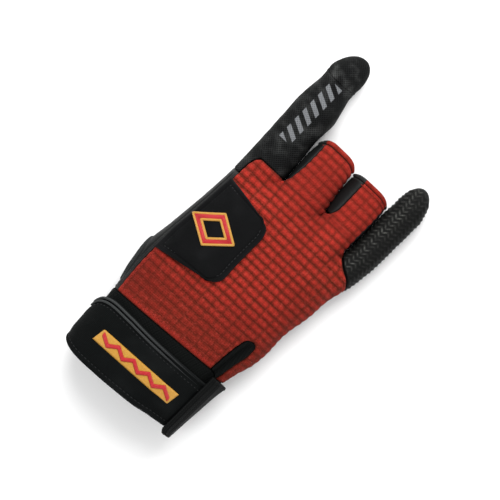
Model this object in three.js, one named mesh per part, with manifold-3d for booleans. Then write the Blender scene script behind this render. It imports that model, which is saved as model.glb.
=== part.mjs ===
// A right-hand bowling glove lying on its palm with its back up. The index and little fingers are whole, the
// middle and ring fingers are cut off short, the thumb comes out of a bound hole, and a strap closes the wrist.
// Millimetres. +X runs to the little finger, +Y to the fingertips, +Z up. The origin is on the surface that the
// glove lies on, under the middle of its outline.
//
// The whole outer skin is one function, skin(lane, side, s, v). A lane is the strip of the hand that leads into
// one finger. Side is the back or the palm. s runs across the lane from 0 on the thumb's side to 1 on the little
// finger's, and v runs along the hand from the wrist, along rows that lean a little as the ribs of the knit do.
// Each piece is a patch of that skin, given a thickness.
import * as THREE from "three";
import Module from "manifold-3d";

const wasm = await Module();
wasm.setup();

const { lerp, clamp, smoothstep } = THREE.MathUtils;

// Driving dimensions
const SEAM_GAP = 0.3; // between two pieces that are sewn edge to edge
const LAYER_GAP = 0.45; // between a piece and what it is sewn on
const RIB_PITCH = 4.6; // of the ribs across the knit
const RIB_HEIGHT = 0.9;
const WALL = { knit: 1.7, leather: 1.3, mesh: 1.3, cuff: 2.2, patch: 1.3, strap: 2.2, tab: 2.0, elastic: 1.0 };
const BACK = "back";
const PALM = "palm";

// Rows lean down towards the little finger, by LEAN at the knuckles and not at all at the wrist.
const LEAN = 0.09;
const LEAN_FULL_V = 100;
const LEAN_X = 20;

// The glove's place in its own frame: the middle of its outline, measured in the tables' X and Y.
const MIDDLE_X = 25.53;
const MIDDLE_Y = 112.64;

// Where neighbouring fingers part, and the run over which the palm's section turns into the fingers' own.
const CROTCH = { index: 147.0, middle: 149.3, ring: 140.1 };
const SPLIT_RUN = 24;

// Superellipse exponents of the sections: a higher one is boxier.
const ROUND = { handBack: 2.3, handPalm: 3.0, fingerBack: 2.2, fingerPalm: 2.5 };

// The height of the widest line, from which every section rises to its back and drops to its underside
const WIDEST = table(
  ["v", "mid"],
  [-6, 17.5], [20, 17.2], [38, 16.4], [57, 14.8], [84, 13.6], [116, 12.2], [130, 11.1], [140, 10.3], [150, 9.9],
  [166, 9.5], [181, 9.2], [197, 8.9], [214, 8.5],
);

// The hand from the wrist to the knuckles. left and right are its outline, b1 to b3 the lines between fingers,
// and low and top the heights of its underside and its back. Below 0 the underside is pressed flat.
const HAND = table(
  ["v", "left", "b1", "b2", "b3", "right", "low", "top"],
  [-6, -29.6, -9.0, 10.4, 28.4, 42.6, 2.4, 34.6],
  [8, -30.2, -8.8, 11.0, 29.6, 44.9, 2.4, 34.4],
  [20, -29.5, -8.4, 11.8, 31.0, 47.1, 2.4, 33.9],
  [34, -28.6, -7.8, 12.8, 33.4, 49.8, 2.4, 33.2],
  [41, -28.6, -7.3, 13.6, 35.0, 52.4, 1.4, 32.9],
  [48, -28.6, -6.9, 14.4, 36.4, 55.0, 0.4, 33.0],
  [57, -30.4, -6.0, 15.5, 38.4, 59.2, -0.4, 33.3],
  [68, -30.6, -4.6, 17.6, 40.6, 61.6, -0.8, 33.4],
  [84, -26.6, -1.5, 21.0, 43.6, 63.0, -0.8, 33.0],
  [100, -23.0, 1.8, 25.2, 48.2, 67.4, -0.8, 32.2],
  [116, -20.1, 5.0, 29.8, 53.2, 70.6, -0.7, 31.0],
  [130, -17.8, 7.6, 34.2, 57.6, 75.8, -0.6, 28.8],
  [140.1, -16.8, 8.7, 36.6, 60.3, 78.2, -0.5, 26.6],
  [147, -16.3, 9.2, 37.5, 61.2, 79.6, -0.5, 25.2],
  [149.3, -16.2, 9.3, 37.8, 61.5, 80.0, -0.5, 24.8],
);

// Each finger past its crotches: its outline, and its heights from where the palm's section starts to change.
const INDEX = table(
  ["v", "left", "right", "low", "top"],
  [120, -19.4, 5.8, -0.4, 27.0],
  [147, -16.3, 9.2, -0.3, 22.6],
  [150, -16.0, 9.0, -0.3, 22.2],
  [157, -15.5, 9.2, -0.3, 21.6],
  [167, -15.0, 9.5, -0.3, 20.8],
  [177, -14.3, 10.2, -0.3, 20.4],
  [188, -13.6, 11.8, -0.3, 20.2],
  [197, -12.1, 11.3, -0.2, 19.2],
  [204, -10.7, 10.2, 0.0, 17.9],
  [209, -10.3, 10.2, 0.1, 17.5],
  [214, -10.4, 10.9, 0.2, 17.5],
);
const MIDDLE = table(
  ["v", "left", "right", "low", "top"],
  [120, 5.8, 31.0, -0.4, 30.4],
  [147, 9.2, 37.5, -0.3, 25.6],
  [149.3, 9.6, 37.8, -0.3, 25.2],
  [152, 9.8, 37.3, -0.3, 24.7],
  [157, 9.9, 36.8, -0.3, 24.0],
  [167, 10.2, 36.6, -0.3, 23.0],
  [177, 11.2, 36.9, -0.3, 22.4],
  [184, 12.2, 37.0, -0.3, 22.2],
);
const RING = table(
  ["v", "left", "right", "low", "top"],
  [120, 31.0, 54.4, -0.4, 29.8],
  [140.1, 36.6, 60.3, -0.3, 25.4],
  [144, 37.2, 60.8, -0.3, 24.6],
  [149.3, 37.8, 61.4, -0.3, 23.7],
  [152, 38.0, 61.9, -0.3, 23.3],
  [158, 38.0, 62.6, -0.3, 22.6],
  [166, 38.1, 63.3, -0.3, 21.9],
  [179, 38.6, 63.7, -0.3, 21.4],
);
const LITTLE = table(
  ["v", "left", "right", "low", "top"],
  [110, 51.4, 70.0, -0.4, 26.0],
  [125, 56.2, 73.6, -0.3, 23.4],
  [140.1, 60.3, 78.2, -0.2, 20.4],
  [144, 61.8, 79.2, -0.2, 20.0],
  [150, 63.0, 80.1, -0.2, 19.5],
  [158, 64.0, 81.2, -0.2, 18.8],
  [166, 64.4, 82.2, -0.2, 18.4],
  [174, 65.0, 83.2, -0.1, 18.2],
  [181, 66.2, 84.0, 0.0, 17.8],
);

// A closed fingertip is a dome from v = start to v = tip that ends over x = tipX. A lower power is more pointed.
const DOMES = [
  { start: 213, tip: 228.6, tipX: 3.4, power: 2.0 },
  null,
  null,
  { start: 181, tip: 198.3, tipX: 75.4, power: 2.1 },
];
const FINGERS = [INDEX, MIDDLE, RING, LITTLE];
const BORDER_COLUMNS = ["left", "b1", "b2", "b3", "right"];
const BORDER_CROTCHES = [CROTCH.index, CROTCH.index, CROTCH.middle, CROTCH.ring, CROTCH.ring];

// Seams on the back of the glove, as the X of the seam at v
const THUMB_SEAM = table(
  ["v", "x"],
  [41.2, -26.0], [50, -25.9], [58, -25.6], [66, -24.9], [84, -22.3], [100, -19.0], [116, -16.1],
  [128, -14.1], [134, -13.2], [140, -12.2], [144, -10.8], [147, -8.0],
);
const MIDDLE_SEAM = table(
  ["v", "x"],
  [147, 9.4], [151, 11.0], [155, 12.1], [163, 13.6], [171, 14.5], [184, 15.3],
);
const RING_SEAMS = table(
  ["v", "left", "right"],
  [140.1, 36.9, 60.2], [145, 37.6, 60.5], [149.3, 38.0, 60.9], [150.6, 39.8, 61.0], [154, 42.2, 61.4],
  [158, 43.4, 61.9], [166, 44.3, 62.7], [179, 45.5, 63.1],
);
const PALM_SIDE_SEAM = { share: 0.2, run: 7 }; // of the seams that close the cut-off fingers' undersides
const OUTER_SEAM = 0.9; // s, on the palm, of the seam along the little finger's side of the hand
const LITTLE_BASE = { inner: CROTCH.ring, outer: 124 }; // v at which the little finger starts, at s = 0 and s = 1
const INDEX_BASE = 133.2; // v at which the index finger starts, at s = 0

// The sides of the wrist slit beside the little finger
const SLIT_TOP = 68.8;
const SLIT = table(
  ["v", "left", "right"],
  [41.2, 42.3, 48.0], [50, 43.6, 51.0], [60, 45.8, 54.4], [68.8, 48.6, 55.2],
);

// Lengths along the hand
const CUFF = { low: 6, high: 40.9 };
const KNIT_LOW = 41.2;
const MIDDLE_END = { knit: 179.2, hem: 182.0 };
const RING_END = { knit: 176.9, hem: 179.4 };
const TIP_SEAM = 209;

// A table of named columns with one row for each section. Rows are given in order of their first column.
function table(columns, ...rows) {
  const read = {};
  columns.slice(1).forEach((name, c) => {
    const at = rows.map((row) => row[0]);
    const value = rows.map((row) => row[c + 1]);
    const steep = at.map((_, i) => {
      const a = Math.max(0, i - 1);
      const b = Math.min(at.length - 1, i + 1);
      return (value[b] - value[a]) / (at[b] - at[a]);
    });
    read[name] = (v) => hermite(at, value, steep, v);
  });
  return read;
}

// A smooth curve through the table's points, held level past its ends
function hermite(at, value, steep, v) {
  const x = clamp(v, at[0], at[at.length - 1]);
  let i = 0;
  while (i < at.length - 2 && x > at[i + 1]) i += 1;
  const span = at[i + 1] - at[i];
  const t = (x - at[i]) / span;
  const a = (1 + 2 * t) * (1 - t) * (1 - t) * value[i] + t * t * (3 - 2 * t) * value[i + 1];
  return a + span * (t * (1 - t) * (1 - t) * steep[i] - t * t * (1 - t) * steep[i + 1]);
}

const lean = (v) => LEAN * smoothstep(v, 0, LEAN_FULL_V);

// How far the palm's section has turned into the fingers' own: 0 to 1 along the run before a crotch. In the middle
// of a lane it turns smoothly. At the line between two fingers it follows a quarter of an ellipse, so the web
// between them is round.
function parted(lane, s, v) {
  const run = (border) => clamp((v - BORDER_CROTCHES[border]) / SPLIT_RUN + 1, 0, 1);
  const [a, b] = [run(lane), run(lane + 1)];
  const smooth = [a * a * (3 - 2 * a), b * b * (3 - 2 * b)];
  const quarter = (t) => 1 - Math.sqrt(1 - t * t);
  const web = [lane === 0 ? smooth[0] : quarter(a), lane === 3 ? smooth[1] : quarter(b)];
  return lerp(smooth[0], smooth[1], s) + (web[0] - smooth[0]) * (1 - s) ** 4 + (web[1] - smooth[1]) * s ** 4;
}

// A finger's outline and heights at v. Below a crotch its edge is the line that it shares with its neighbour.
function fingerSection(lane, v) {
  const finger = FINGERS[lane];
  const dome = DOMES[lane];
  const at = dome ? Math.min(v, dome.start) : v;
  const left = at < BORDER_CROTCHES[lane] ? HAND[BORDER_COLUMNS[lane]](at) : finger.left(at);
  const right = at < BORDER_CROTCHES[lane + 1] ? HAND[BORDER_COLUMNS[lane + 1]](at) : finger.right(at);
  const closing = dome ? clamp((v - dome.start) / (dome.tip - dome.start), 0, 1) : 0;
  const open = dome ? (1 - closing ** dome.power) ** (1 / dome.power) : 1;
  const mid = WIDEST.mid(v);
  return {
    centre: lerp((left + right) / 2, dome ? dome.tipX : 0, closing),
    half: ((right - left) / 2) * open,
    mid,
    up: (finger.top(at) - mid) * open,
    down: (mid - finger.low(at)) * open,
  };
}

// The point at angle turn, from PI at the left edge to 0 at the right, of a section made of two superellipses
function onSection(section, side, turn, backPower, palmPower) {
  const power = 2 / (side === BACK ? backPower : palmPower);
  const c = Math.cos(turn);
  const rise = Math.max(0, Math.sin(turn)) ** power;
  const x = section.centre + section.half * Math.sign(c) * Math.abs(c) ** power;
  return [x, side === BACK ? section.mid + section.up * rise : section.mid - section.down * rise];
}

// The palm's own section at s across a lane, before it parts into fingers
function onPalm(lane, side, s, v, finger) {
  const left = HAND.left(v);
  const right = HAND.right(v);
  const mid = WIDEST.mid(v);
  const [centre, half] = [(left + right) / 2, (right - left) / 2];
  const section = { centre, half, mid, up: HAND.top(v) - mid, down: mid - HAND.low(v) };
  const power = side === BACK ? ROUND.handBack : ROUND.handPalm;
  const turnAt = (x) => {
    const across = clamp((x - section.centre) / section.half, -1, 1);
    return Math.acos(Math.sign(across) * Math.abs(across) ** (power / 2));
  };
  const from = lane === 0 ? Math.PI : turnAt(finger.centre - finger.half);
  const to = lane === 3 ? 0 : turnAt(finger.centre + finger.half);
  return onSection(section, side, lerp(from, to, s), ROUND.handBack, ROUND.handPalm);
}

// The outer skin of the glove
function skin(lane, side, s, v) {
  const finger = fingerSection(lane, v);
  const own = onSection(finger, side, Math.PI * (1 - s), ROUND.fingerBack, ROUND.fingerPalm);
  const w = parted(lane, s, v);
  const shared = w < 1 ? onPalm(lane, side, s, v, finger) : own;
  const x = lerp(shared[0], own[0], w);
  const z = Math.max(0, lerp(shared[1], own[1], w));
  return new THREE.Vector3(x - MIDDLE_X, v - lean(v) * (x - LEAN_X) - MIDDLE_Y, z);
}

const PROBE = 0.02; // step across a lane over which the skin's slope is measured
const PROBE_ALONG = 0.6; // mm along the hand
function outward(lane, side, s, v) {
  const s0 = Math.max(0, s - PROBE);
  const s1 = Math.min(1, s + PROBE);
  const across = skin(lane, side, s1, v).sub(skin(lane, side, s0, v));
  const along = skin(lane, side, s, v + PROBE_ALONG).sub(skin(lane, side, s, v - PROBE_ALONG));
  const n = across.cross(along);
  if (side === PALM) n.negate();
  const dome = DOMES[lane];
  if (n.length() < 1e-9 || (dome && v > dome.tip - 0.1)) return new THREE.Vector3(0, 1, 0);
  return n.normalize();
}

// The s at which the skin lies over the table's x, and the s that lies `mm` further across the skin
function across(lane, side, v, x) {
  let low = 0;
  let high = 1;
  for (let i = 0; i < 40; i += 1) {
    const half = (low + high) / 2;
    if (skin(lane, side, half, v).x + MIDDLE_X < x) low = half;
    else high = half;
  }
  return low < 1e-6 ? 0 : high > 1 - 1e-6 ? 1 : (low + high) / 2;
}
function further(lane, side, s, v, mm) {
  const step = skin(lane, side, clamp(s + PROBE, 0, 1), v).distanceTo(skin(lane, side, clamp(s - PROBE, 0, 1), v));
  return clamp(s + (mm * (clamp(s + PROBE, 0, 1) - clamp(s - PROBE, 0, 1))) / step, 0, 1);
}

// A patch is a grid of points with their outward directions. columns and rows are lists of shares from 0 to 1,
// or of any other values that place() reads.
function patch(columns, rows, place, turned = false) {
  return { points: rows.map((b) => columns.map((a) => place(a, b))), turned };
}
const shares = (n) => Array.from({ length: n + 1 }, (_, i) => i / n);
const spread = (from, to, n) => shares(n).map((t) => lerp(from, to, t));

// A patch of skin between s = from(v) and s = to(v). relief(v, row) lifts it along its outward direction.
function skinPatch(lane, side, from, to, count, rows, relief = () => 0) {
  const place = (a, v) => {
    const s = lerp(from(v), to(v), a);
    const out = outward(lane, side, s, v);
    return { at: skin(lane, side, s, v), out, lift: relief(v, s) };
  };
  return patch(shares(count), rows, place, side === PALM);
}

// Nothing reaches below the surface that the glove lies on.
function rested(point) {
  point.z = Math.max(0, point.z);
  return point;
}

// One closed wall: the outer face is all the patches joined along their shared edges, raised by `raise`, and the
// inner face lies `thickness` below it.
function wall(patches, thickness, raise = 0) {
  const index = new Map();
  const vertices = [];
  const faces = [];
  const vertex = ({ at, out, lift }) => {
    const key = at.toArray().map((q) => Math.round(q * 500)).join();
    if (!index.has(key)) {
      index.set(key, vertices.length);
      vertices.push({ at: at.clone(), out: new THREE.Vector3(), lift });
    }
    const found = vertices[index.get(key)];
    found.out.add(out);
    found.lift = Math.min(found.lift, lift);
    return index.get(key);
  };
  const face = (a, b, c) => {
    if (a !== b && b !== c && c !== a) faces.push([a, b, c]);
  };
  for (const { points, turned } of patches) {
    const ids = points.map((row) => row.map(vertex));
    for (let j = 0; j + 1 < ids.length; j += 1) {
      for (let i = 0; i + 1 < ids[j].length; i += 1) {
        const [a, b, c, d] = [ids[j][i], ids[j][i + 1], ids[j + 1][i + 1], ids[j + 1][i]];
        if (turned) {
          face(a, c, b);
          face(a, d, c);
        } else {
          face(a, b, c);
          face(a, c, d);
        }
      }
    }
  }
  const n = vertices.length;
  const positions = [];
  for (const { at, out, lift } of vertices) {
    out.normalize();
    positions.push(rested(at.clone().addScaledVector(out, raise + lift)));
  }
  for (const { at, out } of vertices) positions.push(rested(at.clone().addScaledVector(out, raise - thickness)));
  const used = new Set(faces.flatMap(([a, b, c]) => [a + "," + b, b + "," + c, c + "," + a]));
  const all = [];
  for (const [a, b, c] of faces) {
    all.push([a, b, c], [c + n, b + n, a + n]);
    for (const [p, q] of [[a, b], [b, c], [c, a]]) {
      if (!used.has(q + "," + p)) all.push([p, q + n, q], [p, p + n, q + n]);
    }
  }
  return geometryOf(positions, all);
}

function geometryOf(positions, faces) {
  const geometry = new THREE.BufferGeometry();
  geometry.setAttribute("position", new THREE.Float32BufferAttribute(positions.flatMap((p) => p.toArray()), 3));
  geometry.setIndex(faces.flat());
  return geometry;
}

function solidOf(geometry) {
  return new wasm.Manifold(
    new wasm.Mesh({
      numProp: 3,
      vertProperties: new Float32Array(geometry.attributes.position.array),
      triVerts: new Uint32Array(geometry.index.array),
    }),
  );
}

function geometryOfSolid(solid) {
  const mesh = solid.getMesh();
  const geometry = new THREE.BufferGeometry();
  geometry.setAttribute("position", new THREE.Float32BufferAttribute(mesh.vertProperties, 3));
  geometry.setIndex(Array.from(mesh.triVerts));
  return geometry;
}

// A section carried along a run of stations, each a point with an outward and a sideways direction. The section
// is a list of [sideways, outward] pairs, anticlockwise as seen looking back along the run.
function sweep(stations, section, closed = false) {
  const positions = [];
  const faces = [];
  const m = section.length;
  for (const { at, out, aside } of stations) {
    for (const [x, y] of section) positions.push(at.clone().addScaledVector(aside, x).addScaledVector(out, y));
  }
  const last = closed ? stations.length : stations.length - 1;
  for (let j = 0; j < last; j += 1) {
    const next = (j + 1) % stations.length;
    for (let i = 0; i < m; i += 1) {
      const k = (i + 1) % m;
      faces.push([j * m + i, next * m + k, j * m + k], [j * m + i, next * m + i, next * m + k]);
    }
  }
  if (!closed) {
    const end = (stations.length - 1) * m;
    for (let i = 1; i + 1 < m; i += 1) faces.push([0, i, i + 1], [end, end + i + 1, end + i]);
  }
  return geometryOf(positions, faces);
}

// Stations along a line on the skin: points of { lane, side, s, v }, each raised by `raise`
function stationsOf(line, raise, closed = false) {
  const at = line.map((p) => {
    const out = outward(p.lane, p.side, p.s, p.v);
    return { at: skin(p.lane, p.side, p.s, p.v).addScaledVector(out, raise), out };
  });
  return at.map(({ at: point, out }, i) => {
    const before = at[closed ? (i + at.length - 1) % at.length : Math.max(0, i - 1)].at;
    const after = at[closed ? (i + 1) % at.length : Math.min(at.length - 1, i + 1)].at;
    const along = after.clone().sub(before).normalize();
    const aside = along.clone().cross(out).normalize();
    return { at: point, out: aside.clone().cross(along).normalize(), aside };
  });
}

const roundSection = (halfWidth, halfHeight, sides) =>
  shares(sides)
    .slice(0, -1)
    .map((t) => [halfWidth * Math.cos(2 * Math.PI * t), halfHeight * Math.sin(2 * Math.PI * t)]);

// Finds the skin over the table's x and y: v by repeated substitution, then the lane and s from x.
function over(x, y) {
  let v = y;
  for (let i = 0; i < 8; i += 1) v = y + lean(v) * (x - LEAN_X);
  const lane = [1, 2, 3].filter((k) => x > HAND[BORDER_COLUMNS[k]](v)).length;
  return { lane, side: BACK, s: across(lane, BACK, v, x), v };
}
function draped(x, y) {
  const p = over(x, y);
  return { at: skin(p.lane, p.side, p.s, p.v), out: outward(p.lane, p.side, p.s, p.v), lift: 0 };
}

// The band of skin all round the wrist: r runs from 0 at the little finger's side, over the back to 4 at the
// thumb's side, and under the palm to 8. Just below 0 it is on the palm again.
function aroundWrist(r, v) {
  const turn = ((r % 8) + 8) % 8;
  const onBack = turn < 4;
  const lane = onBack ? 3 - Math.floor(turn) : Math.floor(turn) - 4;
  const s = onBack ? 1 - (turn % 1) : turn % 1;
  const side = onBack ? BACK : PALM;
  return { lane, side, s, v };
}
function wristPatch(rs, rows, place) {
  return patch(rs, rows, (r, b) => {
    const p = aroundWrist(r, place(r, b));
    return { at: skin(p.lane, p.side, p.s, p.v), out: outward(p.lane, p.side, p.s, p.v), lift: 0 };
  }, true);
}

// The ribbed knit of the back. Its rows fall on the crests and the valleys of the ribs.
function rowsFrom(from, to, step) {
  const rows = [];
  for (let v = from; v < to + 0.01; v += step) rows.push(v);
  return rows;
}
const knitRows = (from, to) => rowsFrom(from, to, RIB_PITCH / 2);
const isCrest = (v) => Math.round((v - KNIT_LOW) / (RIB_PITCH / 2)) % 2 === 1;
const thumbSeam = (v) => across(0, BACK, v, THUMB_SEAM.x(v));
const middleSeam = (v) => (v <= CROTCH.index + 0.01 ? 0 : across(1, BACK, v, MIDDLE_SEAM.x(v)));
const ringLeft = (v) => (v <= CROTCH.middle + 0.01 ? 0 : across(2, BACK, v, RING_SEAMS.left(v)));
const ringRight = (v) => (v <= CROTCH.ring + 0.01 ? 1 : across(2, BACK, v, RING_SEAMS.right(v)));
const sideShare = (crotch) => (v) => PALM_SIDE_SEAM.share * smoothstep(v, crotch, crotch + PALM_SIDE_SEAM.run);
const middlePalmLeft = sideShare(CROTCH.index);
const middlePalmRight = (v) => 1 - sideShare(CROTCH.middle)(v);
const ringPalmLeft = sideShare(CROTCH.middle);
const ringPalmRight = (v) => 1 - sideShare(CROTCH.ring)(v);
// The slanted edges at the roots of the outer fingers
const littleEdge = (v) => clamp((LITTLE_BASE.inner - v) / (LITTLE_BASE.inner - LITTLE_BASE.outer), 0, 1);
const indexEdge = (v) => clamp((v - INDEX_BASE) / (CROTCH.index - INDEX_BASE), 0, 1);
const slitLeft = (v) => across(3, BACK, v, SLIT.left(v));
const slitRight = (v) => across(3, BACK, v, SLIT.right(v));
const constant = (value) => () => value;
const moved = (lane, side, edge, mm) => (v) => further(lane, side, edge(v), v, mm);

function backPanel() {
  const ribs = (v) => (isCrest(v) ? RIB_HEIGHT : 0);
  const wrapRibs = (v, s) => (isCrest(v) ? RIB_HEIGHT * clamp((s - OUTER_SEAM) / (1 - OUTER_SEAM), 0, 1) : 0);
  const wallRibs = (v, s) => (isCrest(v) ? RIB_HEIGHT * smoothstep(1 - s, 0.02, 0.2) : 0);
  const crotchRibs = (v, s) => (v > CROTCH.middle - SPLIT_RUN / 2 ? wallRibs(v, s) : ribs(v));
  const belowSlit = knitRows(KNIT_LOW, SLIT_TOP);
  const toLittle = knitRows(SLIT_TOP, LITTLE_BASE.outer);
  const littleRoot = knitRows(LITTLE_BASE.outer, LITTLE_BASE.inner - 1);
  const patches = [
    skinPatch(0, BACK, thumbSeam, constant(1), 3, knitRows(KNIT_LOW, CROTCH.index), ribs),
    skinPatch(1, BACK, middleSeam, constant(1), 4, knitRows(KNIT_LOW, MIDDLE_END.knit), crotchRibs),
    skinPatch(1, PALM, middlePalmRight, constant(1), 1, knitRows(CROTCH.middle, MIDDLE_END.knit)),
    skinPatch(2, BACK, ringLeft, ringRight, 4, knitRows(KNIT_LOW, RING_END.knit), ribs),
    skinPatch(3, BACK, constant(0), slitLeft, 2, belowSlit, ribs),
    skinPatch(3, BACK, slitRight, constant(1), 2, belowSlit, ribs),
    skinPatch(3, PALM, constant(OUTER_SEAM), constant(1), 1, knitRows(KNIT_LOW, LITTLE_BASE.outer), wrapRibs),
  ];
  const [sLeft, sRight] = [slitLeft(SLIT_TOP), slitRight(SLIT_TOP)];
  for (const [a, b, n] of [[0, sLeft, 2], [sLeft, sRight, 1], [sRight, 1, 2]]) {
    patches.push(skinPatch(3, BACK, constant(a), constant(b), n, toLittle, ribs));
    const end = (share) => (v) => share * littleEdge(v);
    patches.push(skinPatch(3, BACK, end(a), end(b), n, littleRoot, ribs));
  }
  return wall(patches, WALL.knit);
}

// The leather of the palm. Its rows fall on the valleys of the knit's ribs, and close up towards the fingers.
const PALM_ROWS = [
  ...rowsFrom(KNIT_LOW, LITTLE_BASE.outer, RIB_PITCH),
  126.3, 128.6, 130.9, 132.9, 135.5, 137.8, 140.05, 142.4, 144.7, 146.95, 149.25, 151.6, 153.9, 156.2,
  160.8, 165.4, 170.0, 174.6, 176.9, 179.2,
];
const THUMB_HOLE = { v: 60, z: 12, halfLong: 15.2, halfHigh: 8.6 };
const SLANT = 0.9; // mm across that keep the seam gap at a slanted edge

function palmPanel() {
  const rows = (to) => PALM_ROWS.filter((v) => v < to + 0.01);
  const past = (from, to) => PALM_ROWS.filter((v) => v > from - 0.2 && v < to + 0.01);
  const firstEdge = (v) => (v < INDEX_BASE ? 0 : further(0, PALM, indexEdge(v), v, SLANT));
  const outerEdge = (v) => further(3, PALM, OUTER_SEAM, v, -SEAM_GAP);
  const lastEdge = (v) => Math.min(outerEdge(v), further(3, PALM, littleEdge(v), v, -SLANT));
  const middleRight = (v) => (v < CROTCH.middle ? 1 : further(1, PALM, middlePalmRight(v), v, -SEAM_GAP));
  const leather = wall([
    skinPatch(0, BACK, constant(0), moved(0, BACK, thumbSeam, -SEAM_GAP), 2, rows(132.9)),
    skinPatch(0, PALM, firstEdge, constant(1), 3, rows(146.95)),
    skinPatch(1, PALM, middlePalmLeft, middleRight, 3, rows(MIDDLE_END.knit)),
    skinPatch(2, PALM, ringPalmLeft, ringPalmRight, 3, rows(RING_END.knit)),
    skinPatch(3, PALM, constant(0), lastEdge, 3, rows(140.05)),
  ], WALL.leather);
  const cutter = new THREE.CylinderGeometry(1, 1, 40, 28).rotateZ(Math.PI / 2);
  cutter.scale(1, THUMB_HOLE.halfLong, THUMB_HOLE.halfHigh);
  const centre = skin(0, BACK, 0, THUMB_HOLE.v);
  cutter.translate(centre.x, centre.y, THUMB_HOLE.z);
  return geometryOfSolid(solidOf(leather).subtract(solidOf(welded(cutter))));
}

function welded(geometry) {
  const seen = new Map();
  const positions = [];
  const source = geometry.attributes.position;
  const id = [];
  for (let i = 0; i < source.count; i += 1) {
    const p = new THREE.Vector3().fromBufferAttribute(source, i);
    const key = p.toArray().map((q) => Math.round(q * 1e4)).join();
    if (!seen.has(key)) {
      seen.set(key, positions.length);
      positions.push(p);
    }
    id.push(seen.get(key));
  }
  const faces = [];
  for (let i = 0; i < geometry.index.count; i += 3) {
    const [a, b, c] = [0, 1, 2].map((k) => id[geometry.index.getX(i + k)]);
    if (a !== b && b !== c && c !== a) faces.push([a, b, c]);
  }
  return geometryOf(positions, faces);
}

// The thumb hole's binding: a roll that follows the hole's edge, just inside it
function thumbBinding() {
  const centre = skin(0, BACK, 0, THUMB_HOLE.v);
  const clear = 1.75;
  const stations = shares(28).slice(0, -1).map((t) => {
    const y = centre.y + (THUMB_HOLE.halfLong - clear) * Math.cos(2 * Math.PI * t);
    const z = THUMB_HOLE.z + (THUMB_HOLE.halfHigh - clear) * Math.sin(2 * Math.PI * t);
    let v = y + MIDDLE_Y;
    let s = 0;
    let side = BACK;
    for (let i = 0; i < 6; i += 1) {
      side = z > WIDEST.mid(v) ? BACK : PALM;
      let low = 0;
      let high = 0.5;
      for (let k = 0; k < 30; k += 1) {
        const half = (low + high) / 2;
        if (Math.abs(skin(0, side, half, v).z - WIDEST.mid(v)) < Math.abs(z - WIDEST.mid(v))) low = half;
        else high = half;
      }
      s = (low + high) / 2;
      v += y - skin(0, side, s, v).y;
    }
    return { lane: 0, side, s, v };
  });
  return sweep(stationsOf(stations, -WALL.leather / 2, true), roundSection(1.0, 1.5, 6), true);
}

// A closed finger from its slanted base to the end of its dome, or a cap from one row to the end
function domeRows(lane, from) {
  const { start, tip } = DOMES[lane];
  return [from, start, ...[0.28, 0.52, 0.72, 0.87, 0.96, 1].map((t) => lerp(start, tip, t))];
}
function indexFinger() {
  const lower = [INDEX_BASE, 135.5, 137.8, 140.1, 142.4, 144.7, CROTCH.index + SEAM_GAP];
  const upper = [CROTCH.index + SEAM_GAP, 151, 156, 162, 169, 176, 183, 190, 197, 203, TIP_SEAM];
  const seam = (v) => further(0, BACK, thumbSeam(Math.min(v, CROTCH.index)), v, -SLANT);
  const seamTop = seam(CROTCH.index + SEAM_GAP);
  const rootEdge = (v) => further(0, PALM, indexEdge(v), v, -1.2 * (1 - indexEdge(v)) - SEAM_GAP);
  const palmEdge = (v) => (v > CROTCH.index ? 1 : Math.max(0.01, rootEdge(v)));
  return wall([
    skinPatch(0, BACK, constant(0), seam, 2, lower),
    skinPatch(0, PALM, constant(0), palmEdge, 5, lower),
    skinPatch(0, BACK, constant(0), constant(seamTop), 2, upper),
    skinPatch(0, BACK, constant(seamTop), constant(1), 3, upper),
    skinPatch(0, PALM, constant(0), constant(1), 5, upper),
  ], WALL.mesh);
}
function indexTip() {
  const rows = domeRows(0, TIP_SEAM + SEAM_GAP);
  return wall([
    skinPatch(0, BACK, constant(0), constant(1), 6, rows),
    skinPatch(0, PALM, constant(0), constant(1), 6, rows),
  ], WALL.mesh);
}
function littleFinger() {
  const base = (s) => lerp(LITTLE_BASE.inner + 1.5, LITTLE_BASE.outer + SLANT, s);
  const slanted = [0, 0.25, 0.5, 0.75, 1];
  const upper = [146, 151, 157, 163, 169, 175, ...domeRows(3, 178).slice(1)];
  const lower = (side) =>
    patch(shares(7), slanted, (s, t) => {
      const v = lerp(base(s), upper[0], t);
      return { at: skin(3, side, s, v), out: outward(3, side, s, v), lift: 0 };
    }, side === PALM);
  return wall([
    lower(BACK),
    lower(PALM),
    skinPatch(3, BACK, constant(0), constant(1), 7, upper),
    skinPatch(3, PALM, constant(0), constant(1), 7, upper),
  ], WALL.mesh);
}

// The leather side walls of the cut-off fingers, each from the crotch to the hem
function fourchette(lane, atLeft, crotch, top, backSeam, palmSeam) {
  const inset = atLeft ? -SEAM_GAP : SEAM_GAP;
  const rows = [crotch + 2.3, ...PALM_ROWS.filter((v) => v > crotch + 2.6 && v < top + 0.01)];
  const onBack = moved(lane, BACK, backSeam, inset);
  const onPalm = moved(lane, PALM, palmSeam, inset);
  const end = constant(atLeft ? 0 : 1);
  return wall([
    atLeft ? skinPatch(lane, BACK, end, onBack, 2, rows) : skinPatch(lane, BACK, onBack, end, 2, rows),
    atLeft ? skinPatch(lane, PALM, end, onPalm, 2, rows) : skinPatch(lane, PALM, onPalm, end, 2, rows),
  ], WALL.leather);
}

function hem(lane, from, to) {
  const rows = [from + SEAM_GAP, (from + to) / 2, to];
  return wall([
    skinPatch(lane, BACK, constant(0), constant(1), 8, rows),
    skinPatch(lane, PALM, constant(0), constant(1), 8, rows),
  ], 2.0, 0.2);
}

// The wrist: an elastic tube, and over it the strap, the strap's welt and the closure tab
const AROUND = rowsFrom(0, 8, 1 / 3);
const CUFF_ROWS = spread(CUFF.low, CUFF.high, 5);
function cuff() {
  return wall([wristPatch(AROUND, CUFF_ROWS, (r, v) => v)], WALL.cuff);
}

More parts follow.
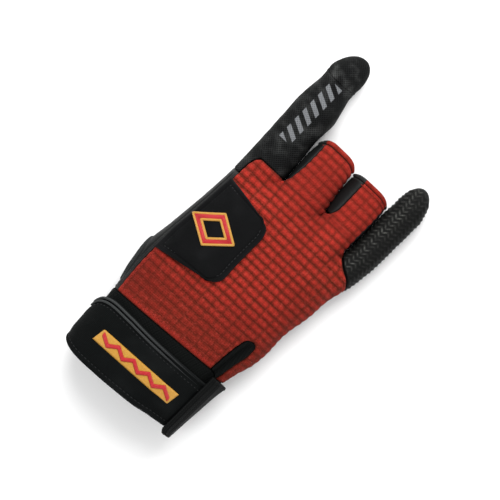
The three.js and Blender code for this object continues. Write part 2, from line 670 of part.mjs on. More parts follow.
const STRAP = table(
  ["r", "low", "high"],
  [0, 0.0, 32.6], [1, -0.8, 33.2], [1.5, -1.6, 33.6], [2, -1.6, 34.2], [3, -0.9, 36.0], [3.4, 0.2, 36.6],
  [3.7, 2.2, 34.6], [4, 4.6, 29.6], [4.5, 4.0, 28.0], [6, 2.0, 29.0], [8, 0.0, 31.0],
);
function wristStrap() {
  const rs = AROUND.filter((r) => r > 0.3 && r < 7.7);
  const band = wristPatch(rs, shares(6), (r, t) => lerp(STRAP.low(r), STRAP.high(r), t));
  return wall([band], WALL.strap, LAYER_GAP + WALL.strap);
}
const ON_STRAP = LAYER_GAP + WALL.strap + SEAM_GAP;
function strapWelt() {
  const line = spread(4.0, 0.72, 20).map((r) => ({ ...aroundWrist(r, STRAP.high(r) - 2.6) }));
  const section = [[-1.7, 0], [1.7, 0], [1.3, 0.8], [0.7, 0.8], [0, 0.3], [-0.7, 0.8], [-1.3, 0.8]];
  return sweep(stationsOf(line, ON_STRAP), section);
}
function closureTab() {
  const left = (v) => 1 - across(3, BACK, v, lerp(38.6, 44.0, clamp((v + 1) / 41, 0, 1)));
  const right = -0.34;
  const rows = [-4.0, -3.4, -2, 1, 8, 16, 24, 31, 39.4];
  const pinch = (v) => (v < -3 ? (v < -3.8 ? 0.3 : 0.12) : 0);
  const place = (a, v) => {
    const l = left(v);
    const r = lerp(right + pinch(v) * 0.5, l - pinch(v) * 0.6, 1 - a);
    const p = aroundWrist(r, v);
    return { at: skin(p.lane, p.side, p.s, p.v), out: outward(p.lane, p.side, p.s, p.v), lift: 0 };
  };
  return wall([patch(shares(7), rows, place)], WALL.tab, LAYER_GAP * 2 + WALL.strap + WALL.tab);
}

function slitGusset() {
  const rows = [KNIT_LOW + SEAM_GAP, ...knitRows(43.5, 64.2), 66.5, SLIT_TOP - 0.4];
  const from = moved(3, BACK, slitLeft, SEAM_GAP);
  const to = moved(3, BACK, slitRight, -SEAM_GAP);
  const lifts = [0.1, 0.9, -0.5, -0.5, 1.1, 0.1];
  const place = (a, v) => {
    const s = lerp(from(v), to(v), a);
    const lift = v > SLIT_TOP - 2 ? 0 : lifts[Math.round(a * 5)];
    return { at: skin(3, BACK, s, v), out: outward(3, BACK, s, v), lift };
  };
  return wall([patch(shares(5), rows, place)], WALL.elastic + 0.6);
}

// Pieces laid over the back, given by X and Y in the tables' frame
const PATCH_RIGHT = table(
  ["b", "x", "y"],
  [0, 9.0, 77.8], [0.07, 13.6, 79.4], [0.15, 16.8, 83.4], [0.3, 17.6, 92], [0.6, 19.2, 107], [0.8, 19.9, 115.6],
  [0.9, 18.0, 120.6], [1, 12.2, 123.6],
);
const PATCH_ROWS = [0, 0.07, 0.15, 0.3, 0.45, 0.6, 0.72, 0.82, 0.91, 1];
const PATCH_TOP = RIB_HEIGHT + LAYER_GAP + WALL.patch;
function knucklePatch() {
  const place = (a, b) => {
    const y = lerp(74.4, 131.0, b);
    const v = over(-20, y).v;
    const x = THUMB_SEAM.x(v) + 0.5;
    return draped(lerp(x, PATCH_RIGHT.x(b), a), lerp(y, PATCH_RIGHT.y(b), a));
  };
  return wall([patch(shares(8), PATCH_ROWS, place)], WALL.patch, PATCH_TOP);
}

// Generic embroidery: a lozenge ring on the patch, and on the strap a bar with a zigzag on it
function lozengeRing() {
  const corner = (k, half) => [[-half[0], 0], [0, -half[1]], [half[0], 0], [0, half[1]]][k % 4];
  const outer = [13.5, 10.5];
  const inner = [8.3, 6.4];
  const place = (t, a) => {
    const k = Math.floor(t);
    const [x0, y0] = corner(k, a ? inner : outer);
    const [x1, y1] = corner(k + 1, a ? inner : outer);
    return draped(-3.6 + lerp(x0, x1, t - k), 102 + lerp(y0, y1, t - k));
  };
  return wall([patch(rowsFrom(0, 4, 1 / 3), [0, 1], place)], 0.8, PATCH_TOP + LAYER_GAP + 0.8);
}
const BAR = { x0: -17.5, x1: 35, y0: 17.4, y1: 14.6, half: 4.2, slant: 2.0 };
const barY = (x) => lerp(BAR.y0, BAR.y1, (x - BAR.x0) / (BAR.x1 - BAR.x0));
function strapBar() {
  const place = (t, a) => {
    const x = lerp(BAR.x0, BAR.x1, t) + (a - 0.5) * BAR.slant;
    return draped(x, barY(x) + lerp(-BAR.half, BAR.half, a));
  };
  return wall([patch(shares(10), [0, 1], place)], 0.8, ON_STRAP + 0.8);
}
function strapZigzag() {
  const teeth = 9;
  const place = (t, a) => {
    const k = Math.round(t * teeth * 2);
    const x = lerp(BAR.x0 + 2.2, BAR.x1 - 2.2, t);
    const swing = [0, 1][Math.floor((k % 4) / 2)] + (k % 2) * [0.5, -0.5][Math.floor((k % 4) / 2)];
    return draped(x, barY(x) - 2.6 + 3.6 * swing + lerp(0, 1.8, a));
  };
  return wall([patch(shares(teeth * 2), [0, 1], place)], 0.5, ON_STRAP + 0.8 + SEAM_GAP + 0.5);
}

const glove = new THREE.Group();
const look = (color, roughness) => new THREE.MeshStandardMaterial({ color, roughness, metalness: 0 });
const LOOKS = {
  knit: look(0xb3261e, 0.85),
  binding: look(0xa0221c, 0.85),
  leather: look(0x1b1c1e, 0.6),
  patch: look(0x1d1f22, 0.65),
  mesh: look(0x2a2b2a, 0.75),
  neoprene: look(0x17191b, 0.7),
  tab: look(0x1e2022, 0.75),
  elastic: look(0x101314, 0.8),
  embroidery_red: look(0xc8102e, 0.6),
  embroidery_gold: look(0xe0a030, 0.55),
};
function add(name, geometry, material) {
  const mesh = new THREE.Mesh(geometry, material);
  mesh.name = name;
  glove.add(mesh);
}

add("back_panel", backPanel(), LOOKS.knit);
add("palm_panel", palmPanel(), LOOKS.leather);
add("thumb_binding", thumbBinding(), LOOKS.elastic);
add("knuckle_patch", knucklePatch(), LOOKS.patch);
add("index_finger", indexFinger(), LOOKS.mesh);
add("index_tip", indexTip(), LOOKS.mesh);
add("little_finger", littleFinger(), LOOKS.mesh);
const SIDE_WALLS = {
  fourchette_index_middle: [1, true, CROTCH.index, MIDDLE_END.knit, middleSeam, middlePalmLeft],
  fourchette_middle_ring: [2, true, CROTCH.middle, RING_END.knit, ringLeft, ringPalmLeft],
  fourchette_ring_little: [2, false, CROTCH.ring, RING_END.knit, ringRight, ringPalmRight],
};
for (const [name, place] of Object.entries(SIDE_WALLS)) add(name, fourchette(...place), LOOKS.leather);
add("middle_hem", hem(1, MIDDLE_END.knit, MIDDLE_END.hem), LOOKS.binding);
add("ring_hem", hem(2, RING_END.knit, RING_END.hem), LOOKS.binding);
add("cuff", cuff(), LOOKS.elastic);
add("wrist_strap", wristStrap(), LOOKS.neoprene);
add("strap_welt", strapWelt(), LOOKS.neoprene);
add("closure_tab", closureTab(), LOOKS.tab);
add("slit_gusset", slitGusset(), LOOKS.elastic);
add("patch_emblem", lozengeRing(), LOOKS.embroidery_red);
add("strap_bar", strapBar(), LOOKS.embroidery_gold);
add("strap_zigzag", strapZigzag(), LOOKS.embroidery_red);

export default glove;
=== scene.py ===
"""A bowling glove that lies on its palm: ribbed red knit on its back, black leather below, one mesh
finger, one net finger, two cut-off fingers, a padded knuckle patch and a strap round the wrist.

Lengths are in millimetres in the tables and shape functions, and turn into metres where a mesh is made.
The whole outer skin is one function, skin(lane, side, s, v). A lane is the strip of the hand that leads
into one finger, s runs across it from 0 on the thumb's side to 1 on the little finger's, and v runs along
the hand from the wrist. Every piece of cloth is a fine grid on that skin, raised by a relief.
"""

import math

import bpy
import numpy as np
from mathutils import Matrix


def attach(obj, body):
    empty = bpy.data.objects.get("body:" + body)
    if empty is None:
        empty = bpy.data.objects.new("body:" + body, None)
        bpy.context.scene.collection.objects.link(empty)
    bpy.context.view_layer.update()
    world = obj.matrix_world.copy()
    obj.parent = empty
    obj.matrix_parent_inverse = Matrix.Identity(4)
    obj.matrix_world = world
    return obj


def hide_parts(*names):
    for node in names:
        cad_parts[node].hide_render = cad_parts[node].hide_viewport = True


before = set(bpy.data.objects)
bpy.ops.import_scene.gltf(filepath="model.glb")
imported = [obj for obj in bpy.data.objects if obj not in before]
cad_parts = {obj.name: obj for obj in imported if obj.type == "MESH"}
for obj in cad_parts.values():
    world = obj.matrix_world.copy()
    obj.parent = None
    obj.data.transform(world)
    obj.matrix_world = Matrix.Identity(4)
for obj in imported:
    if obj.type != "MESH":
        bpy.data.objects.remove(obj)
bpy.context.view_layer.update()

MM = 0.001
BACK, PALM = "back", "palm"
RIB_PITCH = 4.6
RIB_HEIGHT = 0.9
LAYER_GAP = 0.45
SEAM_GAP = 0.3
WALL = {
    "knit": 1.7, "leather": 1.3, "mesh": 1.3, "cuff": 2.2,
    "patch": 1.3, "strap": 2.2, "tab": 2.0, "elastic": 1.6,
}
LEAN, LEAN_FULL_V, LEAN_X = 0.09, 100.0, 20.0
MIDDLE = np.array([25.53, 112.64])
CROTCH = {"index": 147.0, "middle": 149.3, "ring": 140.1}
SPLIT_RUN = 24.0
ROUND = {"hand": (2.3, 3.0), "finger": (2.2, 2.5)}  # section exponents of the back and of the palm


def curves(columns, rows):
    """Named smooth curves through a table's columns: cubic pieces whose slope at a row is the rise
    between its neighbours over their distance, held level past both ends."""
    grid = np.array(rows, float)
    at = grid[:, 0]
    before = np.r_[0, np.arange(len(at) - 1)]
    after = np.r_[np.arange(1, len(at)), len(at) - 1]

    def curve(value):
        slope = (value[after] - value[before]) / (at[after] - at[before])

        def read(v):
            x = np.clip(v, at[0], at[-1])
            i = np.clip(np.searchsorted(at, x) - 1, 0, len(at) - 2)
            span = at[i + 1] - at[i]
            t = (x - at[i]) / span
            flat = (1 + 2 * t) * (1 - t) ** 2 * value[i] + t * t * (3 - 2 * t) * value[i + 1]
            return flat + span * (t * (1 - t) ** 2 * slope[i] - t * t * (1 - t) * slope[i + 1])

        return read

    return {name: curve(grid[:, c + 1]) for c, name in enumerate(columns[1:])}


# Heights of the widest line of every section
WIDEST = curves(
    ["v", "mid"],
    [
        [-6, 17.5], [20, 17.2], [38, 16.4], [57, 14.8], [84, 13.6], [116, 12.2], [130, 11.1], [140, 10.3],
        [150, 9.9], [166, 9.5], [181, 9.2], [197, 8.9], [214, 8.5],
    ],
)["mid"]

# The hand: its outline, the lines between fingers, and the heights of its underside and its back
HAND = curves(
    ["v", "left", "b1", "b2", "b3", "right", "low", "top"],
    [
        [-6, -29.6, -9.0, 10.4, 28.4, 42.6, 2.4, 34.6],
        [8, -30.2, -8.8, 11.0, 29.6, 44.9, 2.4, 34.4],
        [20, -29.5, -8.4, 11.8, 31.0, 47.1, 2.4, 33.9],
        [34, -28.6, -7.8, 12.8, 33.4, 49.8, 2.4, 33.2],
        [41, -28.6, -7.3, 13.6, 35.0, 52.4, 1.4, 32.9],
        [48, -28.6, -6.9, 14.4, 36.4, 55.0, 0.4, 33.0],
        [57, -30.4, -6.0, 15.5, 38.4, 59.2, -0.4, 33.3],
        [68, -30.6, -4.6, 17.6, 40.6, 61.6, -0.8, 33.4],
        [84, -26.6, -1.5, 21.0, 43.6, 63.0, -0.8, 33.0],
        [100, -23.0, 1.8, 25.2, 48.2, 67.4, -0.8, 32.2],
        [116, -20.1, 5.0, 29.8, 53.2, 70.6, -0.7, 31.0],
        [130, -17.8, 7.6, 34.2, 57.6, 75.8, -0.6, 28.8],
        [140.1, -16.8, 8.7, 36.6, 60.3, 78.2, -0.5, 26.6],
        [147, -16.3, 9.2, 37.5, 61.2, 79.6, -0.5, 25.2],
        [149.3, -16.2, 9.3, 37.8, 61.5, 80.0, -0.5, 24.8],
    ],
)
FINGER_COLUMNS = ["v", "left", "right", "low", "top"]
INDEX = curves(
    FINGER_COLUMNS,
    [
        [120, -19.4, 5.8, -0.4, 27.0],
        [147, -16.3, 9.2, -0.3, 22.6],
        [150, -16.0, 9.3, -0.3, 22.2],
        [157, -15.5, 9.6, -0.3, 21.6],
        [167, -15.0, 9.9, -0.3, 20.8],
        [177, -14.3, 10.2, -0.3, 20.4],
        [188, -13.6, 11.8, -0.3, 20.2],
        [197, -12.1, 11.3, -0.2, 19.2],
        [204, -10.7, 10.2, 0.0, 17.9],
        [209, -10.3, 10.2, 0.1, 17.5],
        [214, -10.4, 10.9, 0.2, 17.5],
    ],
)
MIDDLE_FINGER = curves(
    FINGER_COLUMNS,
    [
        [120, 5.8, 31.0, -0.4, 30.4],
        [147, 9.2, 37.5, -0.3, 25.6],
        [149.3, 9.6, 37.8, -0.3, 25.2],
        [152, 9.6, 37.5, -0.3, 24.7],
        [157, 9.7, 37.1, -0.3, 24.0],
        [167, 10.1, 36.9, -0.3, 23.0],
        [177, 11.2, 36.9, -0.3, 22.4],
        [184, 12.2, 37.0, -0.3, 22.2],
    ],
)
RING = curves(
    FINGER_COLUMNS,
    [
        [120, 31.0, 54.4, -0.4, 29.8],
        [140.1, 36.6, 60.3, -0.3, 25.4],
        [144, 37.2, 60.8, -0.3, 24.6],
        [149.3, 37.8, 61.7, -0.3, 23.7],
        [152, 37.7, 62.4, -0.3, 23.3],
        [158, 37.4, 63.2, -0.3, 22.6],
        [166, 37.3, 63.8, -0.3, 21.9],
        [179, 38.1, 63.9, -0.3, 21.4],
    ],
)
LITTLE = curves(
    FINGER_COLUMNS,
    [
        [110, 51.4, 70.0, -0.4, 26.0],
        [125, 56.2, 73.6, -0.3, 23.4],
        [140.1, 60.3, 78.2, -0.2, 20.4],
        [144, 61.8, 79.2, -0.2, 20.0],
        [150, 62.6, 80.1, -0.2, 19.5],
        [158, 63.5, 81.2, -0.2, 18.8],
        [166, 64.0, 82.2, -0.2, 18.4],
        [174, 64.8, 83.2, -0.1, 18.2],
        [181, 66.2, 84.0, 0.0, 17.8],
    ],
)
FINGERS = [INDEX, MIDDLE_FINGER, RING, LITTLE]
BORDERS = ["left", "b1", "b2", "b3", "right"]
PARTS_AT = [CROTCH["index"], CROTCH["index"], CROTCH["middle"], CROTCH["ring"], CROTCH["ring"]]
DOMES = [
    {"start": 213.0, "tip": 228.6, "tip_x": 3.4, "power": 2.0},
    None,
    None,
    {"start": 181.0, "tip": 198.3, "tip_x": 75.4, "power": 2.1},
]

# Seams, as the X of the seam at v
THUMB_SEAM = curves(
    ["v", "x"],
    [
        [41.2, -26.0], [50, -25.9], [58, -25.6], [66, -24.9], [84, -22.3], [100, -19.0], [116, -16.1],
        [128, -14.1], [134, -13.2], [140, -12.2], [144, -10.8], [147, -8.0],
    ],
)["x"]
MIDDLE_SEAM = curves(
    ["v", "x"],
    [[147, 9.4], [151, 11.0], [155, 12.1], [163, 13.6], [171, 14.5], [184, 15.3]],
)["x"]
RING_SEAMS = curves(
    ["v", "left", "right"],
    [
        [140.1, 36.9, 60.2], [145, 37.6, 60.5], [149.3, 38.0, 60.9], [150.6, 39.8, 61.0], [154, 42.2, 61.4],
        [158, 43.4, 61.9], [166, 44.3, 62.7], [179, 45.5, 63.1],
    ],
)
SIDE_SEAM = {"share": 0.2, "run": 7.0}
OUTER_SEAM = 0.9
LITTLE_BASE = {"inner": CROTCH["ring"], "outer": 124.0}
INDEX_BASE = 133.2
SLIT_TOP = 68.8
SLIT_ROUND = 3.2
SLIT = curves(
    ["v", "left", "right"],
    [[41.2, 42.3, 48.0], [50, 43.6, 51.0], [60, 45.8, 54.4], [68.8, 48.6, 55.2]],
)
KNIT_LOW = 41.2
KNIT_TOP = {"middle": 179.2, "ring": 176.9}
HEM_TOP = {"middle": 182.0, "ring": 179.4}
TIP_SEAM = 209.0
CUFF = (6.0, 40.9)


def smoothstep(x, low, high):
    """0 below low, 1 above high, and t*t*(3-2t) of the share t between."""
    t = np.clip((x - low) / (high - low), 0, 1)
    return t * t * (3 - 2 * t)


def fading(x, low, high):
    """1 below low and 0 above high."""
    return 1 - smoothstep(x, low, high)


def bell(x, middle, width):
    """exp(-((x - middle) / width)**2)."""
    return np.exp(-(((x - middle) / width) ** 2))


def dip(t):
    """A quarter circle from 0 at t = 0 up to 1 at t = 1: 1 - sqrt(1 - t*t)."""
    return 1 - np.sqrt(np.maximum(0, 1 - t * t))


def mix(a, b, t):
    """a at t = 0, b at t = 1, and in a straight line between."""
    return a + (b - a) * t


def unit(vectors):
    return vectors / np.maximum(np.linalg.norm(vectors, axis=-1, keepdims=True), 1e-12)


def lengths(points, axis=0):
    """The length along lines of points up to each of them."""
    steps = np.linalg.norm(np.diff(points, axis=axis), axis=-1)
    start = np.zeros_like(np.take(steps, [0], axis=axis))
    return np.concatenate([start, np.cumsum(steps, axis=axis)], axis=axis)


def lean(v):
    """How much a row of the hand drops for each millimetre of x: LEAN from LEAN_FULL_V up."""
    return LEAN * smoothstep(v, 0, LEAN_FULL_V)


def v_at(x, y):
    """The v of the line that passes over x and y of the tables, settled in eight rounds."""
    v = y
    for _ in range(8):
        v = y + lean(v) * (x - LEAN_X)
    return v


def finger_section(lane, v):
    """A finger's centre, half width, height of its widest line, rise and drop at v. A closed end shrinks
    as the superellipse (1 - t**p)**(1/p) of the share t of the dome."""
    finger, dome = FINGERS[lane], DOMES[lane]
    at = np.minimum(v, dome["start"]) if dome else v
    left = np.where(at < PARTS_AT[lane], HAND[BORDERS[lane]](at), finger["left"](at))
    right = np.where(at < PARTS_AT[lane + 1], HAND[BORDERS[lane + 1]](at), finger["right"](at))
    centre, opened = (left + right) / 2, 1.0
    if dome:
        closing = np.clip((v - dome["start"]) / (dome["tip"] - dome["start"]), 0, 1)
        opened = (1 - closing ** dome["power"]) ** (1 / dome["power"])
        centre = mix(centre, dome["tip_x"], closing)
    mid = WIDEST(v)
    rise, drop = (finger["top"](at) - mid) * opened, (mid - finger["low"](at)) * opened
    return centre, (right - left) / 2 * opened, mid, rise, drop


def on_section(section, side, turn, powers):
    """x and z at the angle turn of a section of two superellipses, from pi at its left edge to 0 at its
    right."""
    centre, half, mid, up, down = section
    power = 2 / powers[0 if side == BACK else 1]
    c = np.cos(turn)
    rise = np.maximum(0, np.sin(turn)) ** power
    x = centre + half * np.sign(c) * np.abs(c) ** power
    return x, mid + up * rise if side == BACK else mid - down * rise


def on_hand(lane, side, s, v, finger):
    """x and z of the undivided hand at s of a lane."""
    left, right, mid = HAND["left"](v), HAND["right"](v), WIDEST(v)
    section = ((left + right) / 2, (right - left) / 2, mid, HAND["top"](v) - mid, mid - HAND["low"](v))
    power = ROUND["hand"][0 if side == BACK else 1]

    def turn_at(x):
        share = np.clip((x - section[0]) / section[1], -1, 1)
        return np.arccos(np.clip(np.sign(share) * np.abs(share) ** (power / 2), -1, 1))

    first = np.pi + 0 * v if lane == 0 else turn_at(finger[0] - finger[1])
    last = 0 * v if lane == 3 else turn_at(finger[0] + finger[1])
    return on_section(section, side, mix(first, last, s), ROUND["hand"])


def parted(lane, s, v):
    """How far the hand's section has turned into the finger's: smooth inside a lane, and a quarter of an
    ellipse along the line between two fingers, so the web between them is round."""
    a, b = (np.clip((v - PARTS_AT[k]) / SPLIT_RUN + 1, 0, 1) for k in (lane, lane + 1))
    smooth_a, smooth_b = smoothstep(a, 0, 1), smoothstep(b, 0, 1)
    web_a = smooth_a if lane == 0 else dip(a)
    web_b = smooth_b if lane == 3 else dip(b)
    return mix(smooth_a, smooth_b, s) + (web_a - smooth_a) * (1 - s) ** 4 + (web_b - smooth_b) * s**4


# How far the corners of the cut-off fingers' ends hang back, left and right, and over what length
DROOP = {1: (4.5, 3.2), 2: (1.6, 3.4)}
DROOP_RUN = (160.0, 182.0)


def droop(lane, x, centre, half, v):
    """How far a cut-off finger's end hangs back towards its sides: the fifth power of the share of its
    half width."""
    if lane not in DROOP:
        return 0.0
    share = np.clip((x - centre) / half, -1, 1)
    most = np.where(share < 0, DROOP[lane][0], DROOP[lane][1])
    return most * np.abs(share) ** 5 * smoothstep(v, *DROOP_RUN)


def skin(lane, side, s, v):
    """Points of the glove's outer skin in the part's own frame, in millimetres."""
    s, v = np.broadcast_arrays(np.asarray(s, float), np.asarray(v, float))
    finger = finger_section(lane, v)
    own_x, own_z = on_section(finger, side, np.pi * (1 - s), ROUND["finger"])
    hand_x, hand_z = on_hand(lane, side, s, v, finger)
    w = parted(lane, s, v)
    x = np.where(w < 1, mix(hand_x, own_x, w), own_x)
    z = np.where(w < 1, mix(hand_z, own_z, w), own_z)
    y = v - lean(v) * (x - LEAN_X) - droop(lane, x, finger[0], finger[1], v)
    return np.stack([x - MIDDLE[0], y - MIDDLE[1], np.maximum(z, 0)], axis=-1)


def across(lane, side, v, x):
    """The s at which the skin lies over the tables' x, found by halving."""
    v = np.asarray(v, float)
    low, high = np.zeros(v.shape), np.ones(v.shape)
    for _ in range(36):
        half = (low + high) / 2
        under = skin(lane, side, half, v)[..., 0] + MIDDLE[0] < x
        low, high = np.where(under, half, low), np.where(under, high, half)
    s = (low + high) / 2
    return np.where(s < 1e-6, 0, np.where(s > 1 - 1e-6, 1, s))


def further(lane, side, s, v, by):
    """The s that lies `by` millimetres past s across the skin."""
    a, b = np.clip(s - 0.02, 0, 1), np.clip(s + 0.02, 0, 1)
    step = np.linalg.norm(skin(lane, side, b, v) - skin(lane, side, a, v), axis=-1)
    return np.clip(s + by * (b - a) / np.maximum(step, 1e-6), 0, 1)


def draped(x, y):
    """Points of the back over x and y of the tables."""
    x, y = np.broadcast_arrays(np.asarray(x, float), np.asarray(y, float))
    v = v_at(x, y)
    z = np.zeros(x.shape)
    for lane in range(4):
        inside = (lane == 0) | (x > HAND[BORDERS[lane]](v))
        z = np.where(inside, skin(lane, BACK, across(lane, BACK, v, x), v)[..., 2], z)
    return np.stack([x - MIDDLE[0], y - MIDDLE[1], z], axis=-1)


def around_wrist(r, v):
    """Points of the wrist: r runs from 0 at the little finger's side over the back to 4 at the thumb's
    side, and under the palm to 8."""
    r, v = np.broadcast_arrays(np.asarray(r, float), np.asarray(v, float))
    turn = r % 8
    points = np.zeros(r.shape + (3,))
    for k in range(8):
        here = (turn >= k) & (turn < k + 1)
        if here.any():
            lane, side = (3 - k, BACK) if k < 4 else (k - 4, PALM)
            share = turn[here] - k
            points[here] = skin(lane, side, 1 - share if k < 4 else share, v[here])
    return points


def lattice_noise(x, y, seed):
    """Smooth noise from -1 to 1: random values at whole x and y, blended between with t*t*(3-2t)."""
    values = np.random.default_rng(seed).uniform(-1, 1, (64, 64))
    i, j = np.floor(x).astype(int), np.floor(y).astype(int)
    a, b = smoothstep(x - i, 0, 1), smoothstep(y - j, 0, 1)

    def at(p, q):
        return values[p % 64, q % 64]

    return mix(mix(at(i, j), at(i + 1, j), a), mix(at(i, j + 1), at(i + 1, j + 1), a), b)


def rough_noise(x, y, seed):
    """Two octaves of lattice noise."""
    return lattice_noise(x, y, seed) * 0.65 + lattice_noise(x * 2.1 + 9, y * 2.1 + 5, seed + 1) * 0.35


class Cloth:
    """A surface sewn from grids that share borders. Each grid gives points, and the places u and v in the
    cloth in millimetres. Points that meet become one."""

    def __init__(self, *grids):
        points = np.concatenate([g["points"].reshape(-1, 3) for g in grids])
        place = np.concatenate([np.stack([g["u"].ravel(), g["v"].ravel()], axis=1) for g in grids])
        keys = np.round(points * 250).astype(np.int64)
        _, first, same = np.unique(keys, axis=0, return_index=True, return_inverse=True)
        same = same.ravel()
        self.points, self.u, self.v = points[first], place[first, 0], place[first, 1]
        quads, start = [], 0
        for g in grids:
            rows, columns = g["points"].shape[:2]
            ids = same[start : start + rows * columns].reshape(rows, columns)
            start += rows * columns
            q = np.stack([ids[:-1, :-1], ids[:-1, 1:], ids[1:, 1:], ids[1:, :-1]], axis=-1).reshape(-1, 4)
            quads.append(q[:, ::-1] if g["turned"] else q)
        self.split(np.concatenate(quads))
        self.normals = self.vertex_normals()

    @property
    def x(self):
        """The tables' x of every point."""
        return self.points[:, 0] + MIDDLE[0]

    def noise(self, across_it, along_it, seed):
        """Rough noise over the cloth, in cells of so many millimetres."""
        return rough_noise(self.u / across_it, self.v / along_it, seed)

    def split(self, q):
        """Keeps the quads, turns those with two like corners into triangles, and drops faces with no
        area."""
        like = np.stack([q[:, k] == q[:, (k + 1) % 4] for k in range(4)], axis=1)
        whole = ~like.any(axis=1) & (q[:, 0] != q[:, 2]) & (q[:, 1] != q[:, 3])
        one = like.sum(axis=1) == 1
        t = np.concatenate([np.roll(q[one & like[:, k]], -k - 1, axis=1)[:, :3] for k in range(4)])
        self.quads = q[whole]
        self.triangles = t[(t[:, 0] != t[:, 1]) & (t[:, 1] != t[:, 2]) & (t[:, 2] != t[:, 0])]

    def vertex_normals(self):
        """Sum of the normals of the triangles round each point, by area."""
        q, p = self.quads, self.points
        t = np.concatenate([q[:, [0, 1, 2]], q[:, [0, 2, 3]], self.triangles])
        n = np.cross(p[t[:, 1]] - p[t[:, 0]], p[t[:, 2]] - p[t[:, 0]])
        total = np.zeros(p.shape)
        for k in range(3):
            np.add.at(total, t[:, k], n)
        return unit(total)

    def edge_distance(self, most):
        """How far each point lies from the cloth's open edges, up to `most`: lengths passed on from
        neighbour to neighbour until nothing within `most` gets shorter. An open edge is one that only one
        face has."""
        rings = [(f, f.shape[1]) for f in (self.quads, self.triangles)]
        e = np.sort(np.concatenate([f[:, [k, (k + 1) % n]] for f, n in rings for k in range(n)]), axis=1)
        e, count = np.unique(e, axis=0, return_counts=True)
        length = np.linalg.norm(self.points[e[:, 0]] - self.points[e[:, 1]], axis=1)
        far = np.full(len(self.points), float(most))
        far[e[count == 1].ravel()] = 0
        for _ in range(60):
            before = far.copy()
            np.minimum.at(far, e[:, 0], far[e[:, 1]] + length)
            np.minimum.at(far, e[:, 1], far[e[:, 0]] + length)
            if np.allclose(before, far):
                break
        return far

    def raise_by(self, lift):
        """Moves every point out along its normal. Nothing goes below the floor."""
        self.points = self.points + self.normals * np.broadcast_to(lift, self.u.shape)[:, None]
        self.points[:, 2] = np.maximum(self.points[:, 2], 0)


def grid(points, u, v, turned=False):
    """A grid of points with its places. A turned one has its faces the other way round."""
    u, v = (np.broadcast_to(q, points.shape[:2]) for q in (u, v))
    return {"points": points, "u": u, "v": v, "turned": turned}


def sheet_grid(lane, side, s, v, anchor="left"):
    """A grid of the skin. Its u is the length along each row from the anchored side, where it is the
    tables' x."""
    points = skin(lane, side, s, v)
    run, x = lengths(points, 1), points[..., 0] + MIDDLE[0]
    u = x[:, :1] + run if anchor == "left" else x[:, -1:] - (run[:, -1:] - run)
    return grid(points, u, v, side == PALM)


def skin_grid(lane, side, first, last, count, vs):
    """A grid of the skin between s = first(v) and s = last(v), for the rows vs."""
    share = np.linspace(0, 1, count + 1)[None, :]
    return sheet_grid(lane, side, mix(first(vs)[:, None], last(vs)[:, None], share), vs[:, None])


def steady(value):
    """An edge at the same s for every v."""
    return lambda v: np.full(np.shape(v), float(value))


def between(low, high, step):
    """Evenly spaced values from low to high, about a step apart."""
    return np.linspace(low, high, max(2, int(round((high - low) / step)) + 1))


def seam_line(lane, x_at, crotch=0.0, below=0):
    """The s of a seam over the tables' x, and the s of the lane's edge below the crotch where it starts."""
    return lambda v: np.where(v <= crotch + 0.01, below, across(lane, BACK, v, x_at(v)))


def side_share(crotch, at_right=False):
    """The s of a seam on the palm side, which moves in from a finger's edge past the crotch."""
    def share(v):
        inset = SIDE_SEAM["share"] * smoothstep(v, crotch, crotch + SIDE_SEAM["run"])
        return 1 - inset if at_right else inset

    return share


thumb_seam = seam_line(0, THUMB_SEAM)
middle_seam = seam_line(1, MIDDLE_SEAM, CROTCH["index"])
ring_left = seam_line(2, RING_SEAMS["left"], CROTCH["middle"])
ring_right = seam_line(2, RING_SEAMS["right"], CROTCH["ring"], 1)
middle_palm_left, middle_palm_right = side_share(CROTCH["index"]), side_share(CROTCH["middle"], True)
ring_palm_left, ring_palm_right = side_share(CROTCH["middle"]), side_share(CROTCH["ring"], True)


def little_edge(v):
    """The s of the line where the hand ends at the little finger: straight from inner to outer."""
    return np.clip((LITTLE_BASE["inner"] - v) / (LITTLE_BASE["inner"] - LITTLE_BASE["outer"]), 0, 1)


def index_edge(v):
    """The s of the line where the palm ends at the index finger: straight from INDEX_BASE to the crotch."""
    return np.clip((v - INDEX_BASE) / (CROTCH["index"] - INDEX_BASE), 0, 1)


def slit_edge(name):
    """The s of one edge of the slit, which rounds to the slit's middle at its top."""
    def edge(v):
        closing = dip(np.clip((v - SLIT_TOP + SLIT_ROUND) / SLIT_ROUND, 0, 1))
        return across(3, BACK, v, mix(SLIT[name](v), (SLIT["left"](v) + SLIT["right"](v)) / 2, closing))

    return edge


slit_left, slit_right = slit_edge("left"), slit_edge("right")


def moved(lane, side, edge, by):
    """An edge, `by` millimetres further across the skin."""
    return lambda v: further(lane, side, edge(v), v, by)


def rolled(distance, depth, width):
    """An edge that rolls under: it drops by `depth` at the edge, as a quarter circle `width` wide."""
    return -depth * dip(1 - np.clip(distance / width, 0, 1))


def stitch_groove(far, depth, at, width):
    """The groove that a row of stitches pulls into a cloth, at a distance from its edge."""
    return -depth * bell(far, at, width)


def new_piece(name, points, faces):
    """A smooth mesh object of points in millimetres."""
    mesh = bpy.data.meshes.new(name)
    mesh.from_pydata((points.reshape(-1, 3) * MM).tolist(), [], faces)
    mesh.polygons.foreach_set("use_smooth", np.ones(len(mesh.polygons), bool))
    piece = bpy.data.objects.new(name, mesh)
    bpy.context.collection.objects.link(piece)
    return piece


def give_places(piece, u, v, tone):
    """Writes the attribute cloth: u and v in millimetres, and the tone, for the piece's finish."""
    values = np.stack(np.broadcast_arrays(u, v, tone), axis=-1).astype(np.float32)
    attribute = piece.data.attributes.new("cloth", "FLOAT_VECTOR", "POINT")
    attribute.data.foreach_set("vector", values.ravel())
    return piece


